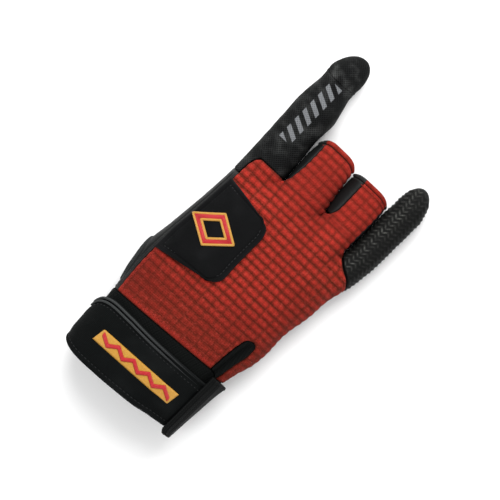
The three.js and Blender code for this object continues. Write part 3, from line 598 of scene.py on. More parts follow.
def dress(piece, material, slot, *nodes):
    """Puts the material on, lets the piece ride with the glove and stand for its nodes."""
    piece.data.materials.append(material)
    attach(piece, "root")
    if nodes:
        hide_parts(*nodes)
    return piece


def panel(name, cloth, tone, wall, material, slot, node):
    """A cloth as a piece: its points in use, its places and tone, and its wall, inwards and with closed
    edges."""
    used = np.unique(np.concatenate([cloth.quads.ravel(), cloth.triangles.ravel()]))
    new = np.zeros(len(cloth.points), int)
    new[used] = np.arange(len(used))
    piece = new_piece(name, cloth.points[used], new[cloth.quads].tolist() + new[cloth.triangles].tolist())
    tone = np.clip(np.broadcast_to(tone, cloth.u.shape), 0, 1)
    give_places(piece, cloth.u[used], cloth.v[used], tone[used])
    if wall:
        modifier = piece.modifiers.new("wall", "SOLIDIFY")
        modifier.thickness, modifier.offset, modifier.use_rim = wall * MM, -1, True
    return dress(piece, material, slot, node)


def tube(name, line, ups, section, radius, tone=0.5, closed=False):
    """A section carried along a line. Each station's frame is its up direction and the direction across,
    which is along x up. The section gives [across, up] pairs, as one list or one list for each station.
    Its place u runs round it at the radius, and the tone is one number or one for each station."""
    along = unit((np.roll(line, -1, 0) - np.roll(line, 1, 0)) if closed else np.gradient(line, axis=0))
    aside = unit(np.cross(along, ups))
    up = np.cross(aside, along)
    section = np.broadcast_to(np.asarray(section, float), (len(line),) + np.shape(section)[-2:])
    points = line[:, None] + aside[:, None] * section[..., :1] + up[:, None] * section[..., 1:]
    n, m = points.shape[:2]
    i, k = np.meshgrid(np.arange(n if closed else n - 1), np.arange(m), indexing="ij")
    ahead, beside = (i + 1) % n, (k + 1) % m
    corners = [i * m + k, ahead * m + k, ahead * m + beside, i * m + beside]
    faces = np.stack(corners, axis=-1).reshape(-1, 4).tolist()
    if not closed:
        faces += [list(range(m)), list(range((n - 1) * m, n * m))[::-1]]
    round_it = np.arange(m) * 2 * math.pi * radius / m
    tone = np.broadcast_to(tone, n)[:, None]
    return give_places(new_piece(name, points, faces), round_it, lengths(line)[:, None], tone)


def ring_section(half_width, half_height, sides):
    """Points round an ellipse, anticlockwise."""
    turn = np.linspace(0, 2 * np.pi, sides, endpoint=False)
    return np.stack([half_width * np.cos(turn), half_height * np.sin(turn)], axis=1)


def read_line(line, run, at):
    """Points of a line at the lengths `at`."""
    return np.stack([np.interp(at, run, column) for column in line.T], axis=1)


def stitches(name, line, out, material, slot, pitch=2.4, length=1.7, thick=0.3):
    """A row of thread stitches along a line of points with their outward directions: each is a spindle,
    six-sided across and tapered as sqrt(1 - t*t) to its ends, which dip into the cloth."""
    run = lengths(line)
    at = np.arange(pitch / 2, run[-1], pitch)
    points, up = read_line(line, run, at)[:, None, None], read_line(out, run, at)[:, None, None]
    ahead = unit(read_line(line, run, at + 0.3) - read_line(line, run, at - 0.3))[:, None, None]
    aside = np.cross(ahead, up)
    t = np.linspace(-1, 1, 6)[:, None]
    wide = thick * np.sqrt(np.maximum(0.08, 1 - t**2))
    turn = np.linspace(0, 2 * np.pi, 6, endpoint=False)
    rise = wide * np.sin(turn) + 0.4 * thick - 1.3 * thick * t**2
    forward = t * length / 2 + 0 * turn
    sideways = wide * np.cos(turn)
    moves = zip((ahead, aside, up), (forward, sideways, rise))
    vertices = points + sum(way * far[..., None] for way, far in moves)
    j, k = np.meshgrid(np.arange(5), np.arange(6), indexing="ij")
    wrap = (k + 1) % 6
    one = np.stack([j * 6 + wrap, (j + 1) * 6 + wrap, (j + 1) * 6 + k, j * 6 + k], axis=-1).reshape(-1, 4)
    ends = np.array([[2, 3, 4, 5], [0, 1, 2, 5], [33, 32, 31, 30], [35, 34, 33, 30]])
    faces = np.arange(len(at))[:, None, None] * 36 + np.concatenate([one, ends])[None]
    return dress(new_piece(name, vertices, faces.reshape(-1, 4).tolist()), material, slot)


def raised(points_at, a, b, step_a, step_b, lift):
    """Points of a surface raised by a lift, and their outward directions, from differences in both its
    places."""
    aside = points_at(a + step_a, b) - points_at(a - step_a, b)
    along = points_at(a, b + step_b) - points_at(a, b - step_b)
    out = unit(np.cross(aside, along))
    return points_at(a, b) + out * np.asarray(lift)[..., None], out


def on_skin(lane, side, s, v, lift):
    """Points of the skin raised by a lift, and their outward directions."""
    s, v = np.broadcast_arrays(np.asarray(s, float), np.asarray(v, float))
    points, out = raised(lambda a, b: skin(lane, side, np.clip(a, 0, 1), b), s, v, 0.02, 0.6, 0.0)
    out = out if side == BACK else -out
    return points + out * lift, out


def on_wrist(r, v, lift):
    """Points on the wrist raised by a lift, and their outward directions: r turns against s, so they
    point in."""
    points, out = raised(around_wrist, r, v, 0.02, 0.6, 0.0)
    return points - out * np.asarray(lift)[..., None], -out


def on_back(x, y, lift):
    """Points over x and y of the tables raised by a lift off the back, and their outward directions."""
    return raised(draped, x, y, 0.4, 0.4, lift)


# Finishes


def srgb(red, green, blue):
    """A colour named by its screen values from 0 to 255, as linear light: ((c + 0.055) / 1.055) ** 2.4."""
    linear = [((c / 255 + 0.055) / 1.055) ** 2.4 if c > 10 else c / 255 / 12.92 for c in (red, green, blue)]
    return (*linear, 1.0)


class Finish:
    """The nodes of one material. u and v are its piece's places in the cloth in millimetres, and tone is
    the third number of the piece's cloth attribute."""

    def __init__(self, name):
        self.material = bpy.data.materials.new(name)
        self.material.use_nodes = True
        self.tree = self.material.node_tree
        self.shader = self.tree.nodes["Principled BSDF"]
        place = self.tree.nodes.new("ShaderNodeAttribute")
        place.attribute_name = "cloth"
        self.place = place.outputs["Vector"]
        self.u, self.v, self.tone = self.node("ShaderNodeSeparateXYZ", Vector=self.place).outputs

    def node(self, kind, **inputs):
        made = self.tree.nodes.new(kind)
        for key, value in inputs.items():
            self.plug(made.inputs[key.replace("_", " ")], value)
        return made

    def plug(self, socket, value):
        if isinstance(value, bpy.types.NodeSocket):
            self.tree.links.new(value, socket)
        else:
            socket.default_value = value

    def math(self, what, *values, clamp=False):
        made = self.tree.nodes.new("ShaderNodeMath")
        made.operation, made.use_clamp = what, clamp
        for k, value in enumerate(values):
            self.plug(made.inputs[k], value)
        return made.outputs[0]

    def times(self, a, b):
        return self.math("MULTIPLY", a, b)

    def plus(self, a, b, clamp=False):
        return self.math("ADD", a, b, clamp=clamp)

    def over(self, a, b):
        return self.math("DIVIDE", a, b)

    def scaled(self, value, by, offset, clamp=False):
        return self.math("MULTIPLY_ADD", value, by, offset, clamp=clamp)

    def wave(self, length):
        """0 to 1 and back along `length`, as half of 1 - cos(2 pi length)."""
        return self.scaled(self.math("COSINE", self.times(length, 2 * math.pi)), -0.5, 0.5)

    def noise(self, scale, stretch=(1, 1, 1), detail=3.0, rough=0.55):
        """Noise over the cloth, from 0 to 1, `scale` cells in a millimetre."""
        turned = self.node("ShaderNodeMapping", Vector=self.place, Scale=stretch).outputs[0]
        look = {"Scale": scale, "Detail": detail, "Roughness": rough}
        return self.node("ShaderNodeTexNoise", Vector=turned, **look).outputs[0]

    def mottle(self, scale, detail=3.0):
        """Noise through the space of the piece, from 0 to 1, `scale` cells in a metre."""
        place = self.tree.nodes.new("ShaderNodeTexCoord").outputs["Object"]
        return self.node("ShaderNodeTexNoise", Vector=place, Scale=scale, Detail=detail).outputs[0]

    def grain(self, scale):
        """Distance to the nearest of scattered points, in cells of 1/scale metres."""
        place = self.tree.nodes.new("ShaderNodeTexCoord").outputs["Object"]
        return self.node("ShaderNodeTexVoronoi", Vector=place, Scale=scale).outputs["Distance"]

    def ramp(self, value, low, high):
        """0 at low and 1 at high, with a smooth step between."""
        made = self.node("ShaderNodeMapRange", Value=value, From_Min=low, From_Max=high)
        made.interpolation_type = "SMOOTHSTEP"
        return made.outputs[0]

    def blend(self, share, low, high):
        made = self.tree.nodes.new("ShaderNodeMix")
        made.data_type = "RGBA"
        for k, value in ((0, share), (6, low), (7, high)):
            self.plug(made.inputs[k], value)
        return made.outputs[2]

    def bump(self, height, depth, strength=1.0, below=None):
        """A bump of `depth` millimetres between height 0 and 1, on top of the one below."""
        made = self.node("ShaderNodeBump", Height=height, Distance=depth * MM, Strength=strength)
        if below is not None:
            self.plug(made.inputs["Normal"], below)
        return made.outputs[0]

    def finish(self, colour, roughness, normal, specular, sheen=0.0, sheen_tint=(1, 1, 1, 1)):
        given = {"Base Color": colour, "Roughness": roughness, "Normal": normal}
        given["Specular IOR Level"] = specular
        if sheen:
            given.update({"Sheen Weight": sheen, "Sheen Roughness": 0.45, "Sheen Tint": sheen_tint})
        for key, value in given.items():
            self.plug(self.shader.inputs[key], value)
        return self.material


WALE = 1.54  # width of a column of knit stitches, five to a square of the grid
COURSE = 1.15  # height of a knit stitch, four to a rib


def chevrons(f, width, length):
    """Rows of small V shapes: a wave along v that is held back by the distance from the middle of its
    column."""
    column = f.math("FRACT", f.over(f.u, width))
    side = f.math("ABSOLUTE", f.math("SUBTRACT", column, 0.5))
    return f.times(f.wave(f.plus(side, f.over(f.v, length))), f.wave(column))


def knit_finish():
    """Red knit: the tone is the height in a rib and carries painted light: the valleys go brown as painted
    shade and the crests red as a painted highlight. Each stitch has its own shade of red."""
    f = Finish("ribbed_knit")
    loops = chevrons(f, WALE, COURSE)
    fibre = f.noise(5.0, (1, 2.2, 1), 4.0)
    heather = f.noise(0.55, (0.8, 1.3, 1), 3.0, 0.7)
    share = f.plus(f.tone, f.scaled(f.plus(fibre, heather), 0.55, -0.55), clamp=True)
    # Painted shade in the rib valleys, brown, up to a painted highlight on the crests, red
    rib = f.blend(share, srgb(86, 31, 18), srgb(194, 52, 42))
    pale = f.blend(f.times(f.ramp(heather, 0.5, 0.8), 0.55), rib, srgb(186, 74, 62))
    deep = f.blend(f.times(f.ramp(f.mottle(30.0), 0.4, 0.75), 0.35), pale, srgb(104, 25, 18))
    colour = f.blend(f.times(loops, 0.4), f.blend(0.3, deep, srgb(30, 10, 6)), deep)
    normal = f.bump(loops, 0.45, 0.9, f.bump(fibre, 0.15))
    return f.finish(colour, 0.95, normal, 0.08, 0.1, srgb(230, 120, 105))


def leather_finish():
    """Black leather with pores and folds, which goes grey where the tone says that it is worn."""
    f = Finish("black_leather")
    broad = f.mottle(45.0, 4.0)
    height = f.plus(f.times(f.grain(900.0), 0.6), f.times(f.grain(240.0), 0.5))
    worn = f.times(f.times(f.tone, f.mottle(160.0, 4.0)), 0.8)
    colour = f.blend(worn, f.blend(broad, srgb(8, 9, 9), srgb(19, 20, 20)), srgb(66, 66, 65))
    return f.finish(colour, f.scaled(broad, 0.22, 0.42), f.bump(height, 0.2, 0.9), 0.14)


def suede_finish():
    """Black suede: a short nap, in soft patches of dark and grey."""
    f = Finish("patch_suede")
    patchy = f.times(f.plus(f.mottle(60.0, 4.0), f.noise(1.4, detail=4.0)), 0.5)
    colour = f.blend(f.times(f.tone, 0.4), f.blend(patchy, srgb(6, 7, 7), srgb(21, 21, 22)), srgb(54, 54, 56))
    normal = f.bump(f.noise(6.0, detail=5.0), 0.16, 0.9)
    return f.finish(colour, 0.86, normal, 0.03, 0.02, srgb(130, 133, 138))


# The print on the index finger: slanted bars in a column that leans with the finger
PRINT = {"low": 163.5, "high": 206.5, "middle": -4.6, "half": 4.2, "pitch": 6.6, "slant": 0.55, "lean": 0.1}


def printed(f, threads, fibre):
    """How much print covers the mesh: the bars of PRINT with soft edges, rubbed thin by noise."""
    bar = f.math("FRACT", f.over(f.scaled(f.u, PRINT["slant"], f.v), PRINT["pitch"]))
    start = PRINT["middle"] - PRINT["lean"] * PRINT["low"]
    away = f.math("ABSOLUTE", f.scaled(f.v, -PRINT["lean"], f.math("SUBTRACT", f.u, start)))
    inside = f.times(f.ramp(bar, 0.06, 0.12), f.ramp(bar, 0.60, 0.54))
    inside = f.times(inside, f.ramp(away, PRINT["half"], PRINT["half"] - 0.4))
    for edge, inner in ((PRINT["low"], 0.5), (PRINT["high"], -0.5)):
        inside = f.times(inside, f.ramp(f.v, edge, edge + inner))
    worn = f.ramp(f.plus(f.times(threads, 0.5), fibre), 0.45, 0.85)
    return f.times(inside, f.scaled(worn, 0.55, 0.22))


def mesh_finish(name, rubbing, has_print):
    """Fine black mesh: holes where two slanted waves meet low, rubbed grey in patches."""
    f = Finish(name)
    one = f.wave(f.over(f.plus(f.u, f.v), 1.5))
    two = f.wave(f.over(f.math("SUBTRACT", f.u, f.v), 1.5))
    threads = f.math("MAXIMUM", one, two)
    base = f.blend(f.ramp(threads, 0.35, 0.9), srgb(3, 3, 3), srgb(21, 22, 22))
    rubbed = f.times(f.ramp(f.mottle(110.0, 5.0), 0.42, 0.78), rubbing)
    colour = f.blend(rubbed, base, f.blend(threads, srgb(12, 13, 13), srgb(74, 75, 74)))
    if has_print:
        colour = f.blend(printed(f, threads, f.noise(4.0, detail=4.0)), colour, srgb(122, 124, 127))
    return f.finish(colour, 0.66, f.bump(threads, 0.3, 0.9), 0.05)


def net_finish():
    """Black net of square threads, whose raised ribs carry a painted highlight in grey where the tone is
    high.
    """
    f = Finish("little_net")
    threads = f.math("MAXIMUM", f.wave(f.over(f.u, 0.9)), f.wave(f.over(f.v, 0.9)))
    # Painted highlight: where the tone is high, on the raised ribs, the net goes grey
    base = f.blend(f.tone, srgb(12, 13, 12), srgb(112, 113, 108))
    patchy = f.blend(f.ramp(f.mottle(110.0, 4.0), 0.3, 0.8), f.blend(0.5, base, srgb(14, 14, 13)), base)
    colour = f.blend(f.ramp(threads, 0.2, 0.8), f.blend(0.6, patchy, srgb(4, 4, 4)), patchy)
    return f.finish(colour, 0.56, f.bump(threads, 0.18, 0.8), 0.09)


def neoprene_finish():
    """Black neoprene under a fine jersey, with lint and worn edges."""
    f = Finish("strap_neoprene")
    jersey = chevrons(f, 0.9, 0.7)
    lint = f.ramp(f.noise(1.1, (1, 0.5, 1), 5.0, 0.7), 0.62, 0.8)
    base = f.blend(f.mottle(40.0, 4.0), srgb(4, 5, 5), srgb(12, 14, 14))
    knitted = f.blend(f.times(jersey, 0.5), base, srgb(18, 20, 20))
    colour = f.blend(f.times(f.plus(f.tone, lint), 0.4), knitted, srgb(46, 49, 49))
    return f.finish(colour, 0.7, f.bump(jersey, 0.2, 0.8), 0.04)


def woven_finish(name, dark, light, warp, weft, depth, roughness):
    """A plain weave: warp threads lie on top where the weft dips, so their height is the product of the
    waves of the two directions, and the opposite for the weft."""
    f = Finish(name)
    one, two = f.over(f.u, warp), f.over(f.v, weft)
    on_top = f.wave(f.plus(f.times(f.math("FLOOR", one), 0.5), f.times(two, 0.5)))
    weft_height = f.times(f.wave(two), f.math("SUBTRACT", 1.0, on_top))
    height = f.plus(f.times(f.wave(one), on_top), weft_height)
    # The tone lightens the colour; the cuff, the slit insert, the closure band and the strap's piping paint
    # highlights and shade with it
    share = f.plus(f.times(height, 0.7), f.times(f.tone, 0.5), clamp=True)
    colour = f.blend(f.times(share, f.plus(f.noise(6.0), 0.4)), dark, light)
    return f.finish(colour, roughness, f.bump(height, depth, 0.9), 0.05)


def satin_finish(name, dark, light, thread=0.42):
    """Satin stitch: threads side by side along v, each as wide as `thread`, with a soft gloss."""
    f = Finish(name)
    strand = f.wave(f.over(f.plus(f.u, f.times(f.noise(0.8), 0.25)), thread))
    shade = f.scaled(f.noise(3.0, (3, 0.6, 1)), 0.5, f.times(strand, 0.5), clamp=True)
    return f.finish(f.blend(shade, dark, light), 0.42, f.bump(strand, 0.16, 0.9), 0.5, 0.15, light)


def thread_finish(name, dark, light):
    """Sewing thread: two shades, mixed by a noise as fine as its twist."""
    f = Finish(name)
    twist = f.mottle(2600.0, 2.0)
    return f.finish(f.blend(twist, dark, light), 0.55, f.bump(twist, 0.05, 0.8), 0.2)


KNIT = knit_finish()
LEATHER = leather_finish()
SUEDE = suede_finish()
INDEX_MESH = mesh_finish("index_mesh", 0.5, True)
TIP_MESH = mesh_finish("tip_mesh", 1.0, False)
NET = net_finish()
NEOPRENE = neoprene_finish()
TAPE = woven_finish("edge_tape", srgb(8, 9, 9), srgb(62, 64, 64), 0.8, 0.8, 0.15, 0.6)
TAB = woven_finish("closure_weave", srgb(3, 4, 4), srgb(24, 25, 25), 1.1, 0.7, 0.2, 0.6)
ELASTIC = woven_finish("elastic_ribs", srgb(3, 4, 4), srgb(15, 17, 16), 1.5, 0.6, 0.25, 0.7)
RED_SATIN = satin_finish("red_satin_stitch", srgb(140, 14, 20), srgb(206, 32, 42))
GOLD_SATIN = satin_finish("gold_satin_stitch", srgb(148, 96, 26), srgb(214, 162, 60))
BLACK_THREAD = thread_finish("black_thread", srgb(12, 13, 13), srgb(34, 35, 36))
RED_THREAD = thread_finish("red_thread", srgb(100, 22, 16), srgb(160, 44, 34))


# The camera and the studio

VIEW_AT = (-7.13, -6.74)  # what the middle of the photograph shows, in the part's own frame
VIEW_TURN = 38.3  # degrees from the hand's length to the photograph's upright
VIEW_WIDE = 280.0
VIEW_LEVEL = 15.0
LENS, SENSOR = 200.0, 36.0
FLOOR_SIZE, FLOOR_DROP = 3.0, 0.0004  # metres: half the floor's side, and how far it lies under the glove
LIGHTS = [  # name, place, size and watts
    ("key", (-0.2, 0.5, 0.55), 0.8, 9.0),
    ("low_fill", (-0.4, -0.9, 0.8), 0.9, 4.0),
    ("fill", (0.9, -0.5, 0.9), 0.9, 5.0),
]


def place_in_scene(name, data, place=(0, 0, 0), turn=(0, 0, 0)):
    """An object of the data at a place, in the scene."""
    made = bpy.data.objects.new(name, data)
    made.location, made.rotation_euler = place, turn
    bpy.context.collection.objects.link(made)
    return made


def make_camera():
    """The camera looks straight down from as far as its lens needs to see VIEW_WIDE."""
    data = bpy.data.cameras.new("camera")
    data.lens, data.sensor_width = LENS, SENSOR
    data.clip_start, data.clip_end = 0.1, 20.0
    place = (VIEW_AT[0] * MM, VIEW_AT[1] * MM, (VIEW_LEVEL + VIEW_WIDE * LENS / SENSOR) * MM)
    bpy.context.scene.camera = place_in_scene("camera", data, place, (0, 0, math.radians(VIEW_TURN)))


def make_light(name, place, size, watts):
    """A round lamp that looks at the glove."""
    data = bpy.data.lights.new(name, "AREA")
    data.shape, data.size, data.energy = "DISK", size, watts
    x, y, z = place
    place_in_scene(name, data, place, (math.atan2(math.hypot(x, y), z), 0, math.atan2(-y, -x) - math.pi / 2))


def make_studio():
    """A white world, a sheet of white paper as the floor, and three lamps."""
    scene = bpy.context.scene
    scene.view_settings.view_transform = "Standard"
    world = bpy.data.worlds.new("studio")
    world.use_nodes = True
    world.node_tree.nodes["Background"].inputs["Color"].default_value = (1, 1, 1, 1)
    world.node_tree.nodes["Background"].inputs["Strength"].default_value = 0.6
    scene.world = world
    mesh = bpy.data.meshes.new("floor")
    corners = [(-1, -1), (1, -1), (1, 1), (-1, 1)]
    mesh.from_pydata([(x * FLOOR_SIZE, y * FLOOR_SIZE, -FLOOR_DROP) for x, y in corners], [], [(0, 1, 2, 3)])
    paper = bpy.data.materials.new("white_paper")
    paper.use_nodes = True
    shader = paper.node_tree.nodes["Principled BSDF"]
    shader.inputs["Base Color"].default_value = (0.93, 0.93, 0.93, 1)
    shader.inputs["Roughness"].default_value = 0.9
    mesh.materials.append(paper)
    place_in_scene("floor", mesh)
    for light in LIGHTS:
        make_light(*light)


make_camera()
make_studio()


# The sewn panels

FINE = RIB_PITCH / 10
COARSE = RIB_PITCH / 4
GRID_PITCH = 5 * WALE
GRID_LEAN = 0.08
STRIP_DROP = 2.6


def rows_between(low, high, step=FINE):
    """Rows a step apart from low to high, both of which are rows."""
    return low + step * np.arange(int(round((high - low) / step)) + 1)


def ribs(cloth):
    """Height of the knit over its skin, from 0 in a valley to 1 on a crest: ribs across the hand as the
    1.1th power of a sine, which sink at the lines of the grid and, half as deep, halfway between them.
    The lines lean to the right as they run up the hand."""
    v, own_x = cloth.v, cloth.points[:, 0]
    x = cloth.x - GRID_LEAN * (v - 98) * smoothstep(cloth.x, -20, 20)
    x = x + rough_noise(v / 9, own_x / 9, 3) * 0.5
    phase = (v - KNIT_LOW + rough_noise(own_x / 12, v / 12, 5) * 0.4) / RIB_PITCH
    crest = np.abs(np.sin(np.pi * phase)) ** 1.1
    line = np.abs((x / GRID_PITCH + 0.5) % 1 - 0.5) * GRID_PITCH
    halfway = np.abs((x / GRID_PITCH) % 1 - 0.5) * GRID_PITCH
    held = bell(line, 0, 0.75) + 0.45 * bell(halfway, 0, 0.6)
    return crest * (1 - 0.5 * held), held


def drop_strip(cloth, share=1.0):
    """Lowers the cloth beyond the slit, where the knit's edge reaches down to the strap's end."""
    on_top = smoothstep(cloth.points[:, 2] - WIDEST(cloth.v), -4.0, -1.5)
    drop = STRIP_DROP * smoothstep(cloth.x, 43.5, 48.5) * on_top * fading(cloth.v, KNIT_LOW, 56)
    cloth.points[:, 1] -= drop * share


def back_panel():
    """The knit of the back, as skin grids that share their borders."""
    def to_end(share):
        return lambda v: share * little_edge(v)

    outer = LITTLE_BASE["outer"]
    root_rows = rows_between(outer, LITTLE_BASE["inner"])
    low_rows, high_rows = rows_between(KNIT_LOW, SLIT_TOP), rows_between(SLIT_TOP, outer)
    middle_top, ring_top = KNIT_TOP["middle"], KNIT_TOP["ring"]
    grids = [
        skin_grid(0, BACK, thumb_seam, steady(1), 34, rows_between(KNIT_LOW, CROTCH["index"])),
        skin_grid(1, BACK, middle_seam, steady(1), 34, rows_between(KNIT_LOW, middle_top)),
        skin_grid(1, PALM, middle_palm_right, steady(1), 8, rows_between(CROTCH["middle"], middle_top)),
        skin_grid(2, BACK, ring_left, ring_right, 32, rows_between(KNIT_LOW, ring_top)),
        skin_grid(3, BACK, steady(0), slit_left, 14, low_rows),
        skin_grid(3, BACK, slit_right, steady(1), 12, low_rows),
        skin_grid(3, PALM, steady(OUTER_SEAM), steady(1), 4, rows_between(KNIT_LOW, outer)),
    ]
    top = float(slit_left(np.array([SLIT_TOP]))[0])
    for first, last, count in ((0, top, 14), (top, 1, 12)):
        grids.append(skin_grid(3, BACK, steady(first), steady(last), count, high_rows))
        grids.append(skin_grid(3, BACK, to_end(first), to_end(last), count, root_rows))
    cloth = Cloth(*grids)
    far, x, v = cloth.edge_distance(6.0), cloth.x, cloth.v
    crest, held = ribs(cloth)
    low = 1 - smoothstep(v, 48, 80) * 0.8
    beside_slit = smoothstep(x, 48, 56) * fading(v, 58, 72)
    turned = smoothstep(x - HAND["right"](v), -7, -1) * fading(v, 124, 134)
    deep = mix(0.45, 1.0, smoothstep(far, 0.2, 3.2)) * (1 - 0.6 * np.maximum(beside_slit, turned))
    deep = deep * (1 - 0.35 * low)
    seamed = stitch_groove(far, 0.3, 2.6, 0.5) * fading(v, 72, 76)
    cloth.raise_by(RIB_HEIGHT * crest * deep + rolled(far, 0.8, 1.2) + cloth.noise(5, 5, 8) * 0.12 + seamed)
    # The band along the folded hem at the low left, which the tone lights as a painted highlight
    hem = fading(far, 2.0, 2.8) * (v < 74) * (cloth.points[:, 0] < 16)
    drop_strip(cloth)
    fingers = smoothstep(v, 128, 152)
    weak = np.maximum(low, 0.6 * fingers)
    # Painted light from the ribs: crests lighter, valleys and the grid's lines darker; the ribs fade to a
    # darker flat tone at the wrist and a lighter one at the fingers
    ribbed = mix(crest**1.2, mix(0.3, 0.72, fingers), 0.6 * weak) * (1 - 0.42 * held * (1 - 0.5 * weak))
    dirt = cloth.noise(14, 14, 9) * 0.12 * low
    # Painted shade: darker towards the little finger's side below the fingers and towards the wrist; the dirt
    # noise adds random mottling in the low part
    shade = 1 - 0.3 * smoothstep(x, 46, 64) * (1 - fingers) - 0.3 * fading(v, 52, 90) + dirt
    # Painted highlight along the folded hem, and painted shade where the edge rolls under
    tone = ribbed * shade + 0.25 * hem - 0.35 * fading(far, 0, 0.7)
    piece = panel("knit_back", cloth, tone, WALL["knit"], KNIT, "knit", "back_panel")


THUMB_HOLE = {"v": 60.0, "z": 12.0, "half_long": 15.2, "half_high": 8.6}
THUMB_HOLE_Y = float(skin(0, BACK, 0, THUMB_HOLE["v"])[1])
THUMB_SIDE_X = -30.0  # the hole is cut only in points beyond this


def thumb_hole_share(points):
    """How far a point lies from the hole's centre line, as a share of the ellipse: 1 on its edge."""
    along = (points[:, 1] - THUMB_HOLE_Y) / THUMB_HOLE["half_long"]
    up = (points[:, 2] - THUMB_HOLE["z"]) / THUMB_HOLE["half_high"]
    return np.sqrt(along**2 + up**2)


def cut_thumb_hole(cloth):
    """Drops the faces inside the hole, and pulls the points just inside it out to its edge."""
    hole, side = thumb_hole_share(cloth.points), cloth.points[:, 0] < THUMB_SIDE_X
    centre = np.array([0, THUMB_HOLE_Y, THUMB_HOLE["z"]])
    pulled = centre + (cloth.points - centre) / np.maximum(hole, 0.2)[:, None]
    near = (np.abs(hole - 1) < 0.16) & side
    outside = (hole > 1) | ~side
    kept = outside | near

    def left_over(faces):
        return faces[kept[faces].all(axis=1) & outside[faces].any(axis=1)]

    cloth.quads, cloth.triangles = left_over(cloth.quads), left_over(cloth.triangles)
    inner = near & ~outside
    cloth.points[inner, 1:] = pulled[inner, 1:]


def leather_panel():
    """The leather of the palm and the thumb's side, with the thumb hole cut through it."""
    def first_edge(v):
        return np.where(v < INDEX_BASE, 0, further(0, PALM, index_edge(v), v, 0.9))

    def last_edge(v):
        free = further(3, PALM, OUTER_SEAM, v, -SEAM_GAP)
        return np.minimum(free, further(3, PALM, little_edge(v), v, -0.9))

    def middle_right(v):
        return np.where(v < CROTCH["middle"], 1, further(1, PALM, middle_palm_right(v), v, -SEAM_GAP))

    thumb_rows = np.r_[rows_between(KNIT_LOW, 131.9, COARSE)[:-1], 132.9]
    side_rows = np.r_[thumb_rows, rows_between(134.35, CROTCH["index"], COARSE)]
    middle_rows = np.r_[side_rows, rows_between(148.15, KNIT_TOP["middle"], COARSE)]
    ring_rows = np.r_[side_rows, rows_between(148.15, KNIT_TOP["ring"], COARSE)]
    little_rows = np.r_[thumb_rows, rows_between(134.35, CROTCH["ring"], COARSE)]
    cloth = Cloth(
        skin_grid(0, BACK, steady(0), moved(0, BACK, thumb_seam, -SEAM_GAP), 22, thumb_rows),
        skin_grid(0, PALM, first_edge, steady(1), 22, side_rows),
        skin_grid(1, PALM, middle_palm_left, middle_right, 22, middle_rows),
        skin_grid(2, PALM, ring_palm_left, ring_palm_right, 20, ring_rows),
        skin_grid(3, PALM, steady(0), last_edge, 18, little_rows),
    )
    cut_thumb_hole(cloth)
    far = cloth.edge_distance(6.0)
    wrinkle = cloth.noise(11, 7, 21) * 0.3 * smoothstep(far, 0, 4)
    cloth.raise_by(rolled(far, 0.6, 1.3) + wrinkle + stitch_groove(far, 0.35, 2.4, 0.5))
    drop_strip(cloth)
    tone = 0.8 * fading(far, 0, 1.4) + 0.25 * cloth.noise(9, 9, 22)
    piece = panel("leather_palm", cloth, tone, WALL["leather"], LEATHER, "leather", "palm_panel")


def thumb_binding():
    """A roll of tape that follows the thumb hole's edge on the skin of the thumb's side."""
    count, clear = 96, 1.2
    turn = np.linspace(0, 2 * np.pi, count, endpoint=False)
    y = THUMB_HOLE_Y + (THUMB_HOLE["half_long"] - clear) * np.cos(turn)
    z = THUMB_HOLE["z"] + (THUMB_HOLE["half_high"] - clear) * np.sin(turn)
    v = y + MIDDLE[1]
    line = np.zeros((count, 3))
    for _ in range(6):
        mid = WIDEST(v)
        for side in (BACK, PALM):
            here = (z > mid) == (side == BACK)
            low, high = np.zeros(count), np.full(count, 0.5)
            for _ in range(30):
                half = (low + high) / 2
                inner = np.abs(skin(0, side, half, v)[:, 2] - mid) < np.abs(z - mid)
                low, high = np.where(inner, half, low), np.where(inner, high, half)
            line[here] = skin(0, side, (low + high) / 2, v)[here]
        v = v + y - line[:, 1]
    out = np.tile([-1.0, 0, 0], (count, 1))
    piece = tube("thumb_roll", line + out * -0.5, out, ring_section(1.5, 1.25, 12), 1.5, closed=True)
    dress(piece, TAPE, "elastic", "thumb_binding")


def side_wall(name, node, lane, back_seam, palm_seam, crotch, top, width):
    """The leather wall of a cut-off finger between its back and its underside, from the crotch to the
    hem, on the left of the finger or, at the seam ring_right, on its right."""
    rows = np.r_[crotch + 2.3, np.arange(crotch + 3.0, top - 0.1, 0.8), top]
    at_left = back_seam is not ring_right
    inset = -SEAM_GAP if at_left else SEAM_GAP
    grids = []
    for side, seam in ((BACK, back_seam), (PALM, palm_seam)):
        edge = moved(lane, side, seam, inset)
        edges = (steady(0), edge) if at_left else (edge, steady(1))
        grids.append(skin_grid(lane, side, *edges, 10, rows))
    cloth = Cloth(*grids)
    far = cloth.edge_distance(4.0)
    cloth.raise_by(rolled(far, 0.5, 1.0) + cloth.noise(4, 6, 31) * 0.12)
    piece = panel(name, cloth, 0.6 * fading(far, 0, 1.2), WALL["leather"], LEATHER, "leather", node)


def side_walls():
    """The walls, each with the width of its flat sheet in millimetres."""
    middle, ring = KNIT_TOP["middle"], KNIT_TOP["ring"]
    for name, lane, *given in (
        ("index_middle", 1, middle_seam, middle_palm_left, CROTCH["index"], middle, 14),
        ("middle_ring", 2, ring_left, ring_palm_left, CROTCH["middle"], ring, 17),
        ("ring_little", 2, ring_right, ring_palm_right, CROTCH["ring"], ring, 11),
    ):
        side_wall("wall_" + name, "fourchette_" + name, lane, *given)


